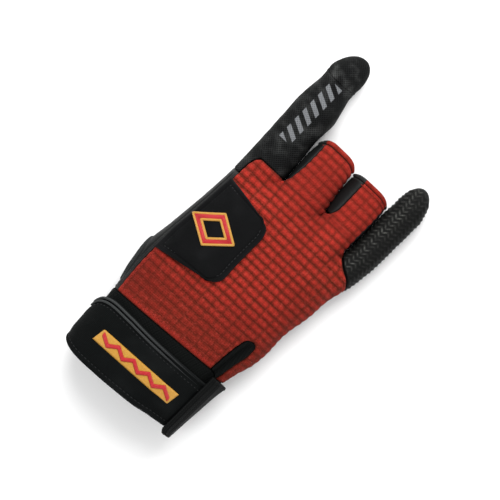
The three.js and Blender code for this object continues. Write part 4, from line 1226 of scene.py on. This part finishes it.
def finger_hem(finger, lane, first_seam, last_seam):
    """The turned-in end of a cut-off finger: a closed profile carried round the finger. Its face follows
    the knit, turns over the end, and runs back down inside. Its columns pucker between the stitches. It
    is of the knit between the two shares of the round that the seams give, counted from the thumb's side
    over the back."""
    low, high = KNIT_TOP[finger], HEM_TOP[finger]
    profile = [
        [low + SEAM_GAP, -0.6], [low + 0.4, -0.1], [low + 0.8, 0.2], [low + 1.4, 0.35], [low + 2.0, 0.3],
        [high - 0.4, 0.12], [high, -0.2], [high + 0.15, -0.7], [high, -1.3], [high - 0.8, -1.7],
        [low - 2.0, -1.85], [low - 6.0, -1.9], [low - 6.0, -1.75], [low, -1.72], [low + SEAM_GAP, -1.2],
    ]
    last_outside = 9  # the profile's row where it has turned in
    share = np.linspace(0, 1, 49)
    rings = []
    for v, lift in profile:
        back, back_out = on_skin(lane, BACK, share, v, 0)
        palm, palm_out = on_skin(lane, PALM, share[::-1], v, 0)
        out = np.concatenate([back_out[:-1], palm_out[:-1]])
        swell = 0.12 * np.cos(2 * np.pi * np.arange(len(out)) / 4) * (lift > 0)
        rings.append(np.concatenate([back[:-1], palm[:-1]]) + out * (lift + swell)[:, None])
    points = np.array(rings + [rings[0]])
    points = np.concatenate([points, points[:, :1]], axis=1)
    points[..., 2] = np.maximum(points[..., 2], 0)
    round_it, down_it = lengths(points[0]), lengths(points[:, 0])
    cloth = Cloth(grid(points, round_it[None, :], down_it[:, None]))
    tone = 0.55 + 0.3 * cloth.noise(2.5, 2, 41)
    piece = panel("hem_" + finger, cloth, tone, None, KNIT, "binding", finger + "_hem")
    piece.data.materials.append(LEATHER)
    column = np.searchsorted(round_it, cloth.u[cloth.quads].max(axis=1) - 0.01)
    at = np.array([low - 1])
    first, last = (round(seam(at)[0] / 2 * (len(round_it) - 1)) for seam in (first_seam, last_seam))
    outside = cloth.v[cloth.quads].max(axis=1) < down_it[last_outside] + 0.01
    is_knit = (column > first) & (column <= last) & outside
    piece.data.polygons.foreach_set("material_index", (~is_knit).astype(np.int32))


CAP_GAP = 0.12


def cap_seam(s):
    """The v of the seam between the index finger and its cap: a bow that is lowest in the finger's
    middle."""
    return TIP_SEAM - 1.0 + 3.6 * (2 * s - 1) ** 2


def bowed_grid(side, s, low, high, share, anchor="left"):
    """A grid of the index finger at s, between v = low and v = high by the share of every row."""
    s = s[None, :]
    return sheet_grid(0, side, s, mix(low + 0 * s, high + 0 * s, share[:, None]), anchor)


def finger_wrinkles(cloth, places):
    """Soft wrinkles across a finger: noise stretched round it, strongest at the finger's joints."""
    v, x = cloth.v, cloth.x
    strength = 0.3 + sum(bell(v, at, 6) for at in places)
    return 0.26 * strength * lattice_noise(v / 4.2 + lattice_noise(x / 9, v / 15, 51) * 1.6, x / 26 + 30, 52)


def index_finger():
    """The whole index finger up to its cap, in fine mesh with soft wrinkles across it."""
    def seam(v):
        return further(0, BACK, thumb_seam(np.minimum(v, CROTCH["index"])), v, -0.9)

    def palm_edge(v):
        edge = further(0, PALM, index_edge(v), v, -1.2 * (1 - index_edge(v)) - SEAM_GAP)
        return np.where(v > CROTCH["index"], 1, np.maximum(0.01, edge))

    start = CROTCH["index"] + SEAM_GAP
    split = float(seam(np.array([start]))[0])
    lower, upper = np.linspace(INDEX_BASE, start, 18), np.linspace(0, 1, 78)
    columns = [(BACK, 0, split, 13, "right"), (BACK, split, 1, 27, "left"), (PALM, 0, 1, 31, "left")]
    grids = [
        skin_grid(0, BACK, steady(0), seam, 12, lower),
        skin_grid(0, PALM, steady(0), palm_edge, 30, lower),
    ]
    for side, first, last, count, anchor in columns:
        s = np.linspace(first, last, count)
        grids.append(bowed_grid(side, s, start, cap_seam(s), upper, anchor))
    cloth = Cloth(*grids)
    far = cloth.edge_distance(5.0)
    wrinkle = finger_wrinkles(cloth, (168.0, 190.0, 200.0)) * smoothstep(far, 0, 4)
    at_cap = smoothstep(cloth.v, 200, 204)
    cloth.raise_by(rolled(far, mix(0.6, 0.22, at_cap), mix(1.1, 0.6, at_cap)) + wrinkle)
    cloth.u = cloth.x
    tone = 0.5 * fading(far, 0, 1.2)
    piece = panel("mesh_index", cloth, tone, WALL["mesh"], INDEX_MESH, "mesh", "index_finger")


def index_tip():
    """The index finger's cap: a straight band and a dome, whose rows lie closer towards its end."""
    dome, s = DOMES[0], np.linspace(0, 1, 35)
    band, closing = np.linspace(0, 1, 7), np.sin(np.linspace(0, np.pi / 2, 27))
    grids = []
    for side in (BACK, PALM):
        grids.append(bowed_grid(side, s, cap_seam(s) + CAP_GAP, dome["start"], band))
        grids.append(bowed_grid(side, s, dome["start"], dome["tip"], closing))
    cloth = Cloth(*grids)
    far = cloth.edge_distance(4.0)
    crumple = 0.22 * rough_noise(cloth.points[:, 0] / 6, cloth.v / 5, 55)
    cloth.raise_by(rolled(far, 0.22, 0.6) + crumple * smoothstep(far, 0, 3))
    tone = 0.6 * fading(far, 0, 1.2)
    piece = panel("mesh_index_cap", cloth, tone, WALL["mesh"], TIP_MESH, "mesh", "index_tip")


CHEVRON = {"pitch": 2.8, "column": 4.8, "slant": 0.8, "height": 0.6}


def little_finger():
    """The whole little finger in net: raised V ribs stand out from it, in columns that run along the
    finger."""
    def base(s):
        return mix(LITTLE_BASE["inner"] + 1.2, LITTLE_BASE["outer"] + 0.5, s)

    top, dome = 146.0, DOMES[3]
    s = np.linspace(0, 1, 61)[None, :]
    under = np.array([-3.0, -2.2, -1.4, -0.8, -0.4])[:, None]
    lower = np.concatenate([base(s) + under, mix(base(s), top, np.linspace(0, 1, 36)[:, None])])
    closing = (dome["tip"] - dome["start"]) * np.sin(np.linspace(0, np.pi / 2, 40)[1:])
    rows = np.r_[between(top, dome["start"], 0.48), dome["start"] + closing]
    upper = rows[:, None] + 0 * s
    places = [(side, v) for v in (lower, upper) for side in (BACK, PALM)]
    cloth = Cloth(*(grid(skin(3, side, s, v), s * 100, v, side == PALM) for side, v in places))
    above = cloth.v - base(cloth.u / 100)
    cloth.u = cloth.x
    turn = cloth.u - finger_section(3, cloth.v)[0]
    column = np.abs((turn / CHEVRON["column"] + 0.5) % 1 - 0.5) * 2
    phase = cloth.v / CHEVRON["pitch"] + column * CHEVRON["slant"]
    along = 0.35 + 0.65 * np.sin(np.pi * np.clip(column, 0.05, 0.95))
    rib = np.maximum(0, np.sin(2 * np.pi * phase)) ** 0.8 * along
    fade = smoothstep(above, 0.3, 2.0) * fading(cloth.v, dome["tip"] - 5, dome["tip"] - 1)
    wrinkle = finger_wrinkles(cloth, (164.0, 182.0)) * 0.5
    tucked = -2.2 * fading(above, -1.0, 1.0)
    cloth.raise_by(tucked + CHEVRON["height"] * rib * fade + wrinkle * smoothstep(above, 0, 4))
    # Painted highlight on the raised ribs, in patches, strongest in a stripe left of the finger's middle
    highlight_patches = np.clip(0.55 + 0.7 * cloth.noise(3, 3, 44), 0, 1)
    tone = rib**2 * fade * highlight_patches * (0.16 + 0.95 * bell(turn, -2.2, 3.0))
    piece = panel("net_little", cloth, tone, WALL["mesh"], NET, "mesh", "little_finger")


def wrist_grid(r, v, turned=True):
    """A grid round the wrist: columns at r, rows at the heights v[row][column]."""
    points = around_wrist(r, v)
    return grid(points, lengths(points, 1), v, turned)


def cuff():
    """The elastic wrist: a closed tube with cords that run up it."""
    cloth = Cloth(wrist_grid(np.linspace(0, 8, 241)[None, :], np.linspace(*CUFF, 40)[:, None]))
    far = cloth.edge_distance(4.0)
    cords = np.abs(np.sin(np.pi * cloth.u / 2.4)) ** 0.6
    cloth.raise_by(0.35 * (cords - 1) + rolled(far, 0.5, 1.0))
    drop_strip(cloth, smoothstep(cloth.v, 30, CUFF[1]))
    # Painted light: the tone follows the cords, lighter on the raised cords and darker as painted shade in
    # the grooves
    piece = panel("elastic_cuff", cloth, cords * 0.4, WALL["cuff"], ELASTIC, "elastic", "cuff")


STRAP = curves(
    ["r", "low", "high"],
    [
        [0, 0.0, 32.6], [1, -0.8, 33.2], [1.5, -1.6, 33.6], [2, -1.6, 34.2], [3, -0.9, 36.0],
        [3.4, 0.2, 36.6], [3.7, 2.2, 34.6], [4, 4.6, 29.6], [4.5, 4.0, 28.0], [6, 2.0, 29.0], [8, 0.0, 31.0],
    ],
)
STRAP_LIFT = LAYER_GAP + WALL["strap"]
ON_STRAP = STRAP_LIFT + SEAM_GAP
PIPING_END = 0.72


def wrist_strap():
    """The strap: a padded band whose edges roll under, with a stitched line along both edges and soft
    dents."""
    r = np.linspace(1 / 3, 7 + 2 / 3, 300)[None, :]
    cloth = Cloth(wrist_grid(r, mix(STRAP["low"](r), STRAP["high"](r), np.linspace(0, 1, 60)[:, None])))
    far = cloth.edge_distance(8.0)
    plump = 0.5 * smoothstep(far, 3.2, 8.0)
    dent = cloth.noise(16, 12, 61) * 0.35 * smoothstep(far, 1, 5)
    cloth.raise_by(STRAP_LIFT + rolled(far, 0.9, 1.5) + stitch_groove(far, 0.45, 3.0, 0.55) + plump + dent)
    tone = 0.45 * fading(far, 0.2, 1.2) + 0.3 * cloth.noise(13, 9, 62)
    piece = panel("neoprene_strap", cloth, tone, WALL["strap"], NEOPRENE, "neoprene", "wrist_strap")


def strap_welt():
    """Two piping cords side by side along the strap's upper edge, which thin out towards their ends."""
    r = np.linspace(4.0, PIPING_END, 150)
    full = np.clip((r - PIPING_END) / 1.2, 0.12, 1)
    section = ring_section(0.7, 0.6, 10)[None] * full[:, None, None]
    for k, inward in enumerate((1.3, 3.5)):
        line, out = on_wrist(r, STRAP["high"](r) - inward, STRAP_LIFT + 0.1 + 0.4 * full)
        # Painted highlight: the cords are lighter towards the thumb's side and darker towards their end at
        # the little finger's side
        tone = 0.35 + 0.65 * smoothstep(r, 1.2, 3.2)
        piece = tube("strap_piping_%d" % (k + 1), line, out, section, 0.7, tone)
        dress(piece, TAPE, "neoprene", *(["strap_welt"] if k == 0 else []))


def closure_tab():
    """The strap's end, folded over at the little finger's side: a woven band with rounded lower corners."""
    v = between(-4.0, 39.4, 0.7)[:, None]
    left = 1 - across(3, BACK, v, mix(38.6, 44.0, np.clip((v + 1) / 41, 0, 1)))
    pinch = 0.3 * dip(1 - np.clip((v + 4.0) / 3.2, 0, 1))
    r = mix(left - pinch * 0.6, -0.34 + pinch * 0.5, np.linspace(0, 1, 46)[None, :])
    cloth = Cloth(wrist_grid(r, v, turned=False))
    far = cloth.edge_distance(6.0)
    ridge = 0.4 * bell(cloth.u, 6.0, 1.1) + 0.35 * bell(cloth.u, 2.6, 0.9)
    lift = STRAP_LIFT + LAYER_GAP + WALL["tab"]
    cloth.raise_by(lift + rolled(far, 0.8, 1.3) + ridge + stitch_groove(far, 0.3, 2.2, 0.45))
    # Painted highlight: a lighter stripe along the ridge at u = 6; the band is also lighter along its edges
    tone = 0.75 * bell(cloth.u, 6.0, 1.3) + 0.3 * fading(far, 0, 1)
    piece = panel("closure_band", cloth, tone, WALL["tab"], TAB, "tab", "closure_tab")


def slit_gusset():
    """The stretch insert of the wrist slit, with two ridges along it."""
    rows = between(KNIT_LOW + SEAM_GAP, SLIT_TOP - 0.4, 0.5)
    first, last = moved(3, BACK, slit_left, SEAM_GAP), moved(3, BACK, slit_right, -SEAM_GAP)
    cloth = Cloth(skin_grid(3, BACK, first, last, 24, rows))
    left, right = SLIT["left"](cloth.v), SLIT["right"](cloth.v)
    share = np.clip((cloth.x - left) / (right - left), 0, 1)
    ridges = 1.2 * bell(share, 0.2, 0.12) + 1.3 * bell(share, 0.8, 0.12) - 0.5
    ridges = ridges * fading(cloth.v, SLIT_TOP - 5, SLIT_TOP - 1)
    cords = np.abs(np.sin(np.pi * cloth.v / 1.2))
    cloth.raise_by(ridges + 0.12 * cords)
    drop_strip(cloth)
    # Painted light: the ridges and cords are lighter as a painted highlight, the hollow between the ridges
    # darker as painted shade
    tone = 0.3 * ridges + 0.2 * cords
    piece = panel("slit_insert", cloth, tone, WALL["elastic"], ELASTIC, "elastic", "slit_gusset")


PATCH_RIGHT = curves(
    ["b", "x", "y"],
    [
        [0, 9.0, 77.8], [0.07, 13.6, 79.4], [0.15, 16.8, 83.4], [0.3, 17.6, 92], [0.6, 19.2, 107],
        [0.8, 19.9, 115.6], [0.9, 18.0, 120.6], [1, 12.2, 123.6],
    ],
)
PATCH_TOP = RIB_HEIGHT + LAYER_GAP + WALL["patch"]
PATCH_LOW, PATCH_HIGH, PATCH_LEFT_X = 74.4, 131.0, -20
PATCH_GROOVE = 3.2


def patch_sides(b):
    """x and y of the patch's left side, which follows the thumb's seam, and of its right side."""
    y = mix(PATCH_LOW, PATCH_HIGH, b)
    left = np.stack([THUMB_SEAM(v_at(PATCH_LEFT_X, y)) + 0.5, y], axis=1)
    return left, np.stack([PATCH_RIGHT["x"](b), PATCH_RIGHT["y"](b)], axis=1)


def knuckle_patch():
    """The padded patch over the knuckles: it swells between its stitched border and its middle."""
    left, right = patch_sides(np.linspace(0, 1, 112))
    x, y = np.moveaxis(mix(left[:, None], right[:, None], np.linspace(0, 1, 84)[None, :, None]), -1, 0)
    cloth = Cloth(grid(draped(x, y), x, y))
    far = cloth.edge_distance(10.0)
    swell = 1.1 * np.sqrt(smoothstep(far, PATCH_GROOVE, 10.0))
    dent = cloth.noise(12, 10, 71) * 0.22 * smoothstep(far, 1, 6)
    groove = stitch_groove(far, 0.55, PATCH_GROOVE, 0.6)
    cloth.raise_by(PATCH_TOP + rolled(far, 1.1, 1.5) + groove + swell + dent)
    tone = 0.55 * fading(far, 0.1, 1.3) + 0.2 * cloth.noise(10, 10, 72)
    piece = panel("padded_knuckle_patch", cloth, tone, WALL["patch"], SUEDE, "patch", "knuckle_patch")


LOZENGE = {"x": -3.6, "y": 102.0, "outer": (13.5, 10.5), "inner": (8.3, 6.4)}


def lozenge_outline(half, t):
    """Points round a lozenge with pointed corners: t runs from 0 to 4, one for each side."""
    corners = np.array([[-half[0], 0], [0, -half[1]], [half[0], 0], [0, half[1]], [-half[0], 0]])
    k = np.clip(np.floor(t).astype(int), 0, 3)
    return mix(corners[k], corners[k + 1], (t - k)[:, None])


def patch_emblem():
    """A lozenge ring in satin stitch: its face swells across its width, and a cord runs round both
    edges."""
    t, width = np.linspace(0, 4, 161), np.linspace(0, 1, 13)[:, None]
    outer, inner = lozenge_outline(LOZENGE["outer"], t), lozenge_outline(LOZENGE["inner"], t)
    flat = mix(outer[None], inner[None], width[..., None])
    swell = 0.75 * np.sqrt(np.maximum(0, 1 - (2 * width - 1) ** 2))
    points, _ = on_back(LOZENGE["x"] + flat[..., 0], LOZENGE["y"] + flat[..., 1], PATCH_TOP + 1.15 + swell)
    cloth = Cloth(grid(points, lengths(outer)[None, :], width * 4))
    panel("satin_lozenge", cloth, 0.5, 0.8, RED_SATIN, "embroidery_red", "patch_emblem")
    for name in ("outer", "inner"):
        x, y = lozenge_outline(LOZENGE[name], np.linspace(0, 4, 120, endpoint=False)).T
        line, ups = on_back(LOZENGE["x"] + x, LOZENGE["y"] + y, PATCH_TOP + 1.35)
        cord = tube("lozenge_cord_" + name, line, ups, ring_section(0.75, 0.6, 8), 0.7, closed=True)
        dress(cord, GOLD_SATIN, "embroidery_gold")


BAR = {"x0": -17.5, "x1": 35.0, "y0": 17.4, "y1": 14.6, "half": 4.2, "slant": 2.0}
TEETH = 9


def bar_y(x):
    """The y of the bar's middle line."""
    return mix(BAR["y0"], BAR["y1"], (x - BAR["x0"]) / (BAR["x1"] - BAR["x0"]))


def strap_bar():
    """A gold bar on the strap in satin stitch, whose edges roll under."""
    t, a = np.meshgrid(np.linspace(0, 1, 120), np.linspace(0, 1, 14))
    x = mix(BAR["x0"], BAR["x1"], t) + (a - 0.5) * BAR["slant"]
    y = bar_y(x) + mix(-BAR["half"], BAR["half"], a)
    from_side = np.minimum(a, 1 - a) * 2 * BAR["half"]
    from_end = np.minimum(t, 1 - t) * (BAR["x1"] - BAR["x0"])
    points, _ = on_back(x, y, ON_STRAP + 0.75 + rolled(np.minimum(from_side, from_end), 0.5, 1.2))
    panel("satin_bar", Cloth(grid(points, x, y)), 0.5, 0.8, GOLD_SATIN, "embroidery_gold", "strap_bar")


def strap_zigzag():
    """A red zigzag on the bar in satin stitch: a band along a line with a knot at every turn."""
    k = np.arange(TEETH * 2 + 1)
    knots_x = mix(BAR["x0"] + 2.2, BAR["x1"] - 2.2, k / (TEETH * 2))
    knots_y = bar_y(knots_x) - 1.7 + 3.6 * (np.abs((k % 4) - 2) / 2.0)
    t = np.linspace(0, TEETH * 2, 240)
    line = np.stack([np.interp(t, k, knots_x), np.interp(t, k, knots_y)], axis=1)
    width = np.linspace(-1, 1, 9)[:, None]
    lift = ON_STRAP + 1.0 + 0.45 * np.sqrt(np.maximum(0, 1 - width**2))
    points, _ = on_back(line[None, :, 0] + 0 * width, line[None, :, 1] + 1.35 * width, lift)
    cloth = Cloth(grid(points, lengths(line)[None, :], width * 2))
    panel("satin_zigzag", cloth, 0.5, 0.5, RED_SATIN, "embroidery_red", "strap_zigzag")


TAPE_DEPTH = 2.9
CAP_TAPE_DEPTH = 1.9
TAPE_SECTION = [[-2.4, -0.35], [2.4, -0.35], [2.4, 0.0], [-2.4, 0.0]]


def seam_tape(name, line, out):
    """A flat tape inside the glove that backs a seam, along points and their outward directions."""
    apart = np.r_[True, np.linalg.norm(np.diff(line, axis=0), axis=1) > 0.05]
    dress(tube("tape_" + name, line[apart], out[apart], TAPE_SECTION, 0.8, 0.0), ELASTIC, "binding")


def seam_tapes():
    """The tapes behind the seams, so that no light shows through them."""
    index, middle, ring = CROTCH["index"], CROTCH["middle"], CROTCH["ring"]
    middle_top, ring_top = KNIT_TOP["middle"] - 3, KNIT_TOP["ring"] - 3
    outer, slit_top = LITTLE_BASE["outer"], SLIT_TOP - 0.5
    base = (LITTLE_BASE["inner"] + 0.6, outer + 0.4)
    seam_top = float(thumb_seam(np.array([index]))[0])
    # Name, lane, side, then a seam with the v between which it runs, or two shares with the v at each
    for name, lane, side, place, low, high in (
        ("thumb_side", 0, BACK, thumb_seam, KNIT_LOW, 146.5),
        ("index_back", 0, BACK, (seam_top, 0.97), index + 0.15, index + 0.15),
        ("index_palm", 0, PALM, (0.0, 0.97), INDEX_BASE, index),
        ("middle_left", 1, BACK, middle_seam, index + 2, middle_top),
        ("middle_palm_left", 1, PALM, middle_palm_left, index + 2, middle_top),
        ("middle_palm_right", 1, PALM, middle_palm_right, middle + 2, middle_top),
        ("ring_left", 2, BACK, ring_left, middle + 2, ring_top),
        ("ring_palm_left", 2, PALM, ring_palm_left, middle + 2, ring_top),
        ("ring_right", 2, BACK, ring_right, ring + 2, ring_top),
        ("ring_palm_right", 2, PALM, ring_palm_right, ring + 2, ring_top),
        ("little_back", 3, BACK, (0.03, 0.98), *base),
        ("little_palm", 3, PALM, (0.03, 0.98), *base),
        ("outer", 3, PALM, steady(OUTER_SEAM), KNIT_LOW, outer - 1),
        ("slit_left", 3, BACK, slit_left, KNIT_LOW, slit_top),
        ("slit_right", 3, BACK, slit_right, KNIT_LOW, slit_top),
    ):
        if callable(place):
            v = between(low, high, 1.5)
            s = place(v)
        else:
            s, v = np.linspace(*place, 24), np.linspace(low, high, 24)
        seam_tape(name, *on_skin(lane, side, s, v, -TAPE_DEPTH))
    s = np.linspace(0, 1, 40)
    for name, side in (("cap_back", BACK), ("cap_palm", PALM)):
        seam_tape(name, *on_skin(0, side, s, cap_seam(s), -CAP_TAPE_DEPTH))
    seam_tape("wrist", *on_wrist(np.linspace(0, 8, 200), 41.0, -TAPE_DEPTH))


# Pitch, length and thickness of stitches
SIDE_THREAD, HEM_THREAD, CAP_THREAD = (2.3, 1.6, 0.22), (2.0, 1.4, 0.2), (1.9, 1.3, 0.2)
STRAP_THREAD, PATCH_THREAD = (2.6, 1.8, 0.22), (2.3, 1.7, 0.28)


def joined(parts):
    """The points and the outward directions of several lines, each end to end."""
    return [np.concatenate([part[k] for part in parts]) for k in (0, 1)]


def seam_stitches():
    """The rows of stitches along the seams, each a fixed distance from its edge."""
    low_rows, high_rows, low_v = between(43.4, 72.5, 1.5), between(42.5, 131.5, 1.5), 43.8
    s = further(0, BACK, thumb_seam(high_rows), high_rows, -2.3)
    stitches("stitches_thumb_side", *on_skin(0, BACK, s, high_rows, -0.25), BLACK_THREAD, "leather")
    s = further(0, BACK, thumb_seam(low_rows), low_rows, 2.5)
    stitches("stitches_knit_side", *on_skin(0, BACK, s, low_rows, 0.35), RED_THREAD, "knit", *SIDE_THREAD)
    at = np.array([low_v])
    first, last = further(0, BACK, thumb_seam(at), at, 3.0)[0], slit_left(at)[0] - 0.08
    spans = ((first, 0.98), (0.0, 0.98), (0.0, 0.98), (0.0, last))
    rows = [on_skin(lane, BACK, np.linspace(*span, 30), low_v, 0.4) for lane, span in enumerate(spans)]
    stitches("stitches_knit_low", *joined(rows), RED_THREAD, "knit", *SIDE_THREAD)
    for name, lane, v, first, last in (("middle", 1, 177.6, 0.22, 0.9), ("ring", 2, 175.3, 0.34, 0.88)):
        row = on_skin(lane, BACK, np.linspace(first, last, 60), v, 0.4)
        stitches("stitches_hem_" + name, *row, RED_THREAD, "knit", *HEM_THREAD)
    s = np.linspace(0, 1, 60)
    back = on_skin(0, BACK, s, cap_seam(s) - 1.2, -0.05)
    palm = on_skin(0, PALM, s[::-1], cap_seam(s[::-1]) - 1.2, -0.05)
    round_it = joined([back, [q[1:] for q in palm]])
    stitches("stitches_cap", *round_it, BLACK_THREAD, "mesh", *CAP_THREAD)
    v = between(LITTLE_BASE["outer"] + 1, LITTLE_BASE["inner"] - 3, 0.8)
    row = on_skin(3, BACK, np.clip(little_edge(v) - 0.02, 0.04, 0.86), v - 1.2, 0.45)
    stitches("stitches_little_base", *row, RED_THREAD, "knit", *HEM_THREAD)
    row = on_skin(0, BACK, np.linspace(0.42, 0.97, 34), CROTCH["index"] - 1.7, 0.5)
    stitches("stitches_index_base", *row, RED_THREAD, "knit", *HEM_THREAD)
    r = np.linspace(0.45, 7.55, 300)
    for name, inward, lift in (("low", 3.0, -0.32), ("high", -5.6, 0.2)):
        row = on_wrist(r, STRAP[name](r) + inward, STRAP_LIFT + lift)
        stitches("stitches_strap_" + name, *row, BLACK_THREAD, "neoprene", *STRAP_THREAD)


def patch_stitches():
    """Stitches in the groove round the patch, at the same distance inside its edge."""
    left, right = patch_sides(np.linspace(0, 1, 120))
    share = np.linspace(0, 1, 40)[1:-1, None]
    low, high = mix(left[0], right[0], share), mix(right[-1], left[-1], share)
    closed = np.concatenate([low, right, high, left[::-1], low[:1]])
    run = lengths(closed)
    even = read_line(closed, run, np.linspace(0, run[-1], 260, endpoint=False))
    along = unit(np.roll(even, -3, 0) - np.roll(even, 3, 0))
    inner = even + np.stack([-along[:, 1], along[:, 0]], axis=1) * PATCH_GROOVE
    inner = inner[np.linalg.norm(inner[:, None] - even[None], axis=2).min(axis=1) > PATCH_GROOVE - 0.2]
    x, y = np.r_[inner, inner[:1]].T
    stitches("stitches_patch", *on_back(x, y, PATCH_TOP - 0.35), BLACK_THREAD, "patch", *PATCH_THREAD)


back_panel()
leather_panel()
thumb_binding()
side_walls()
finger_hem("middle", 1, middle_seam, lambda v: 2 - middle_palm_right(v))
finger_hem("ring", 2, ring_left, ring_right)
index_finger()
index_tip()
little_finger()
cuff()
wrist_strap()
strap_welt()
closure_tab()
slit_gusset()
knuckle_patch()
patch_emblem()
strap_bar()
strap_zigzag()
seam_tapes()
seam_stitches()
patch_stitches()
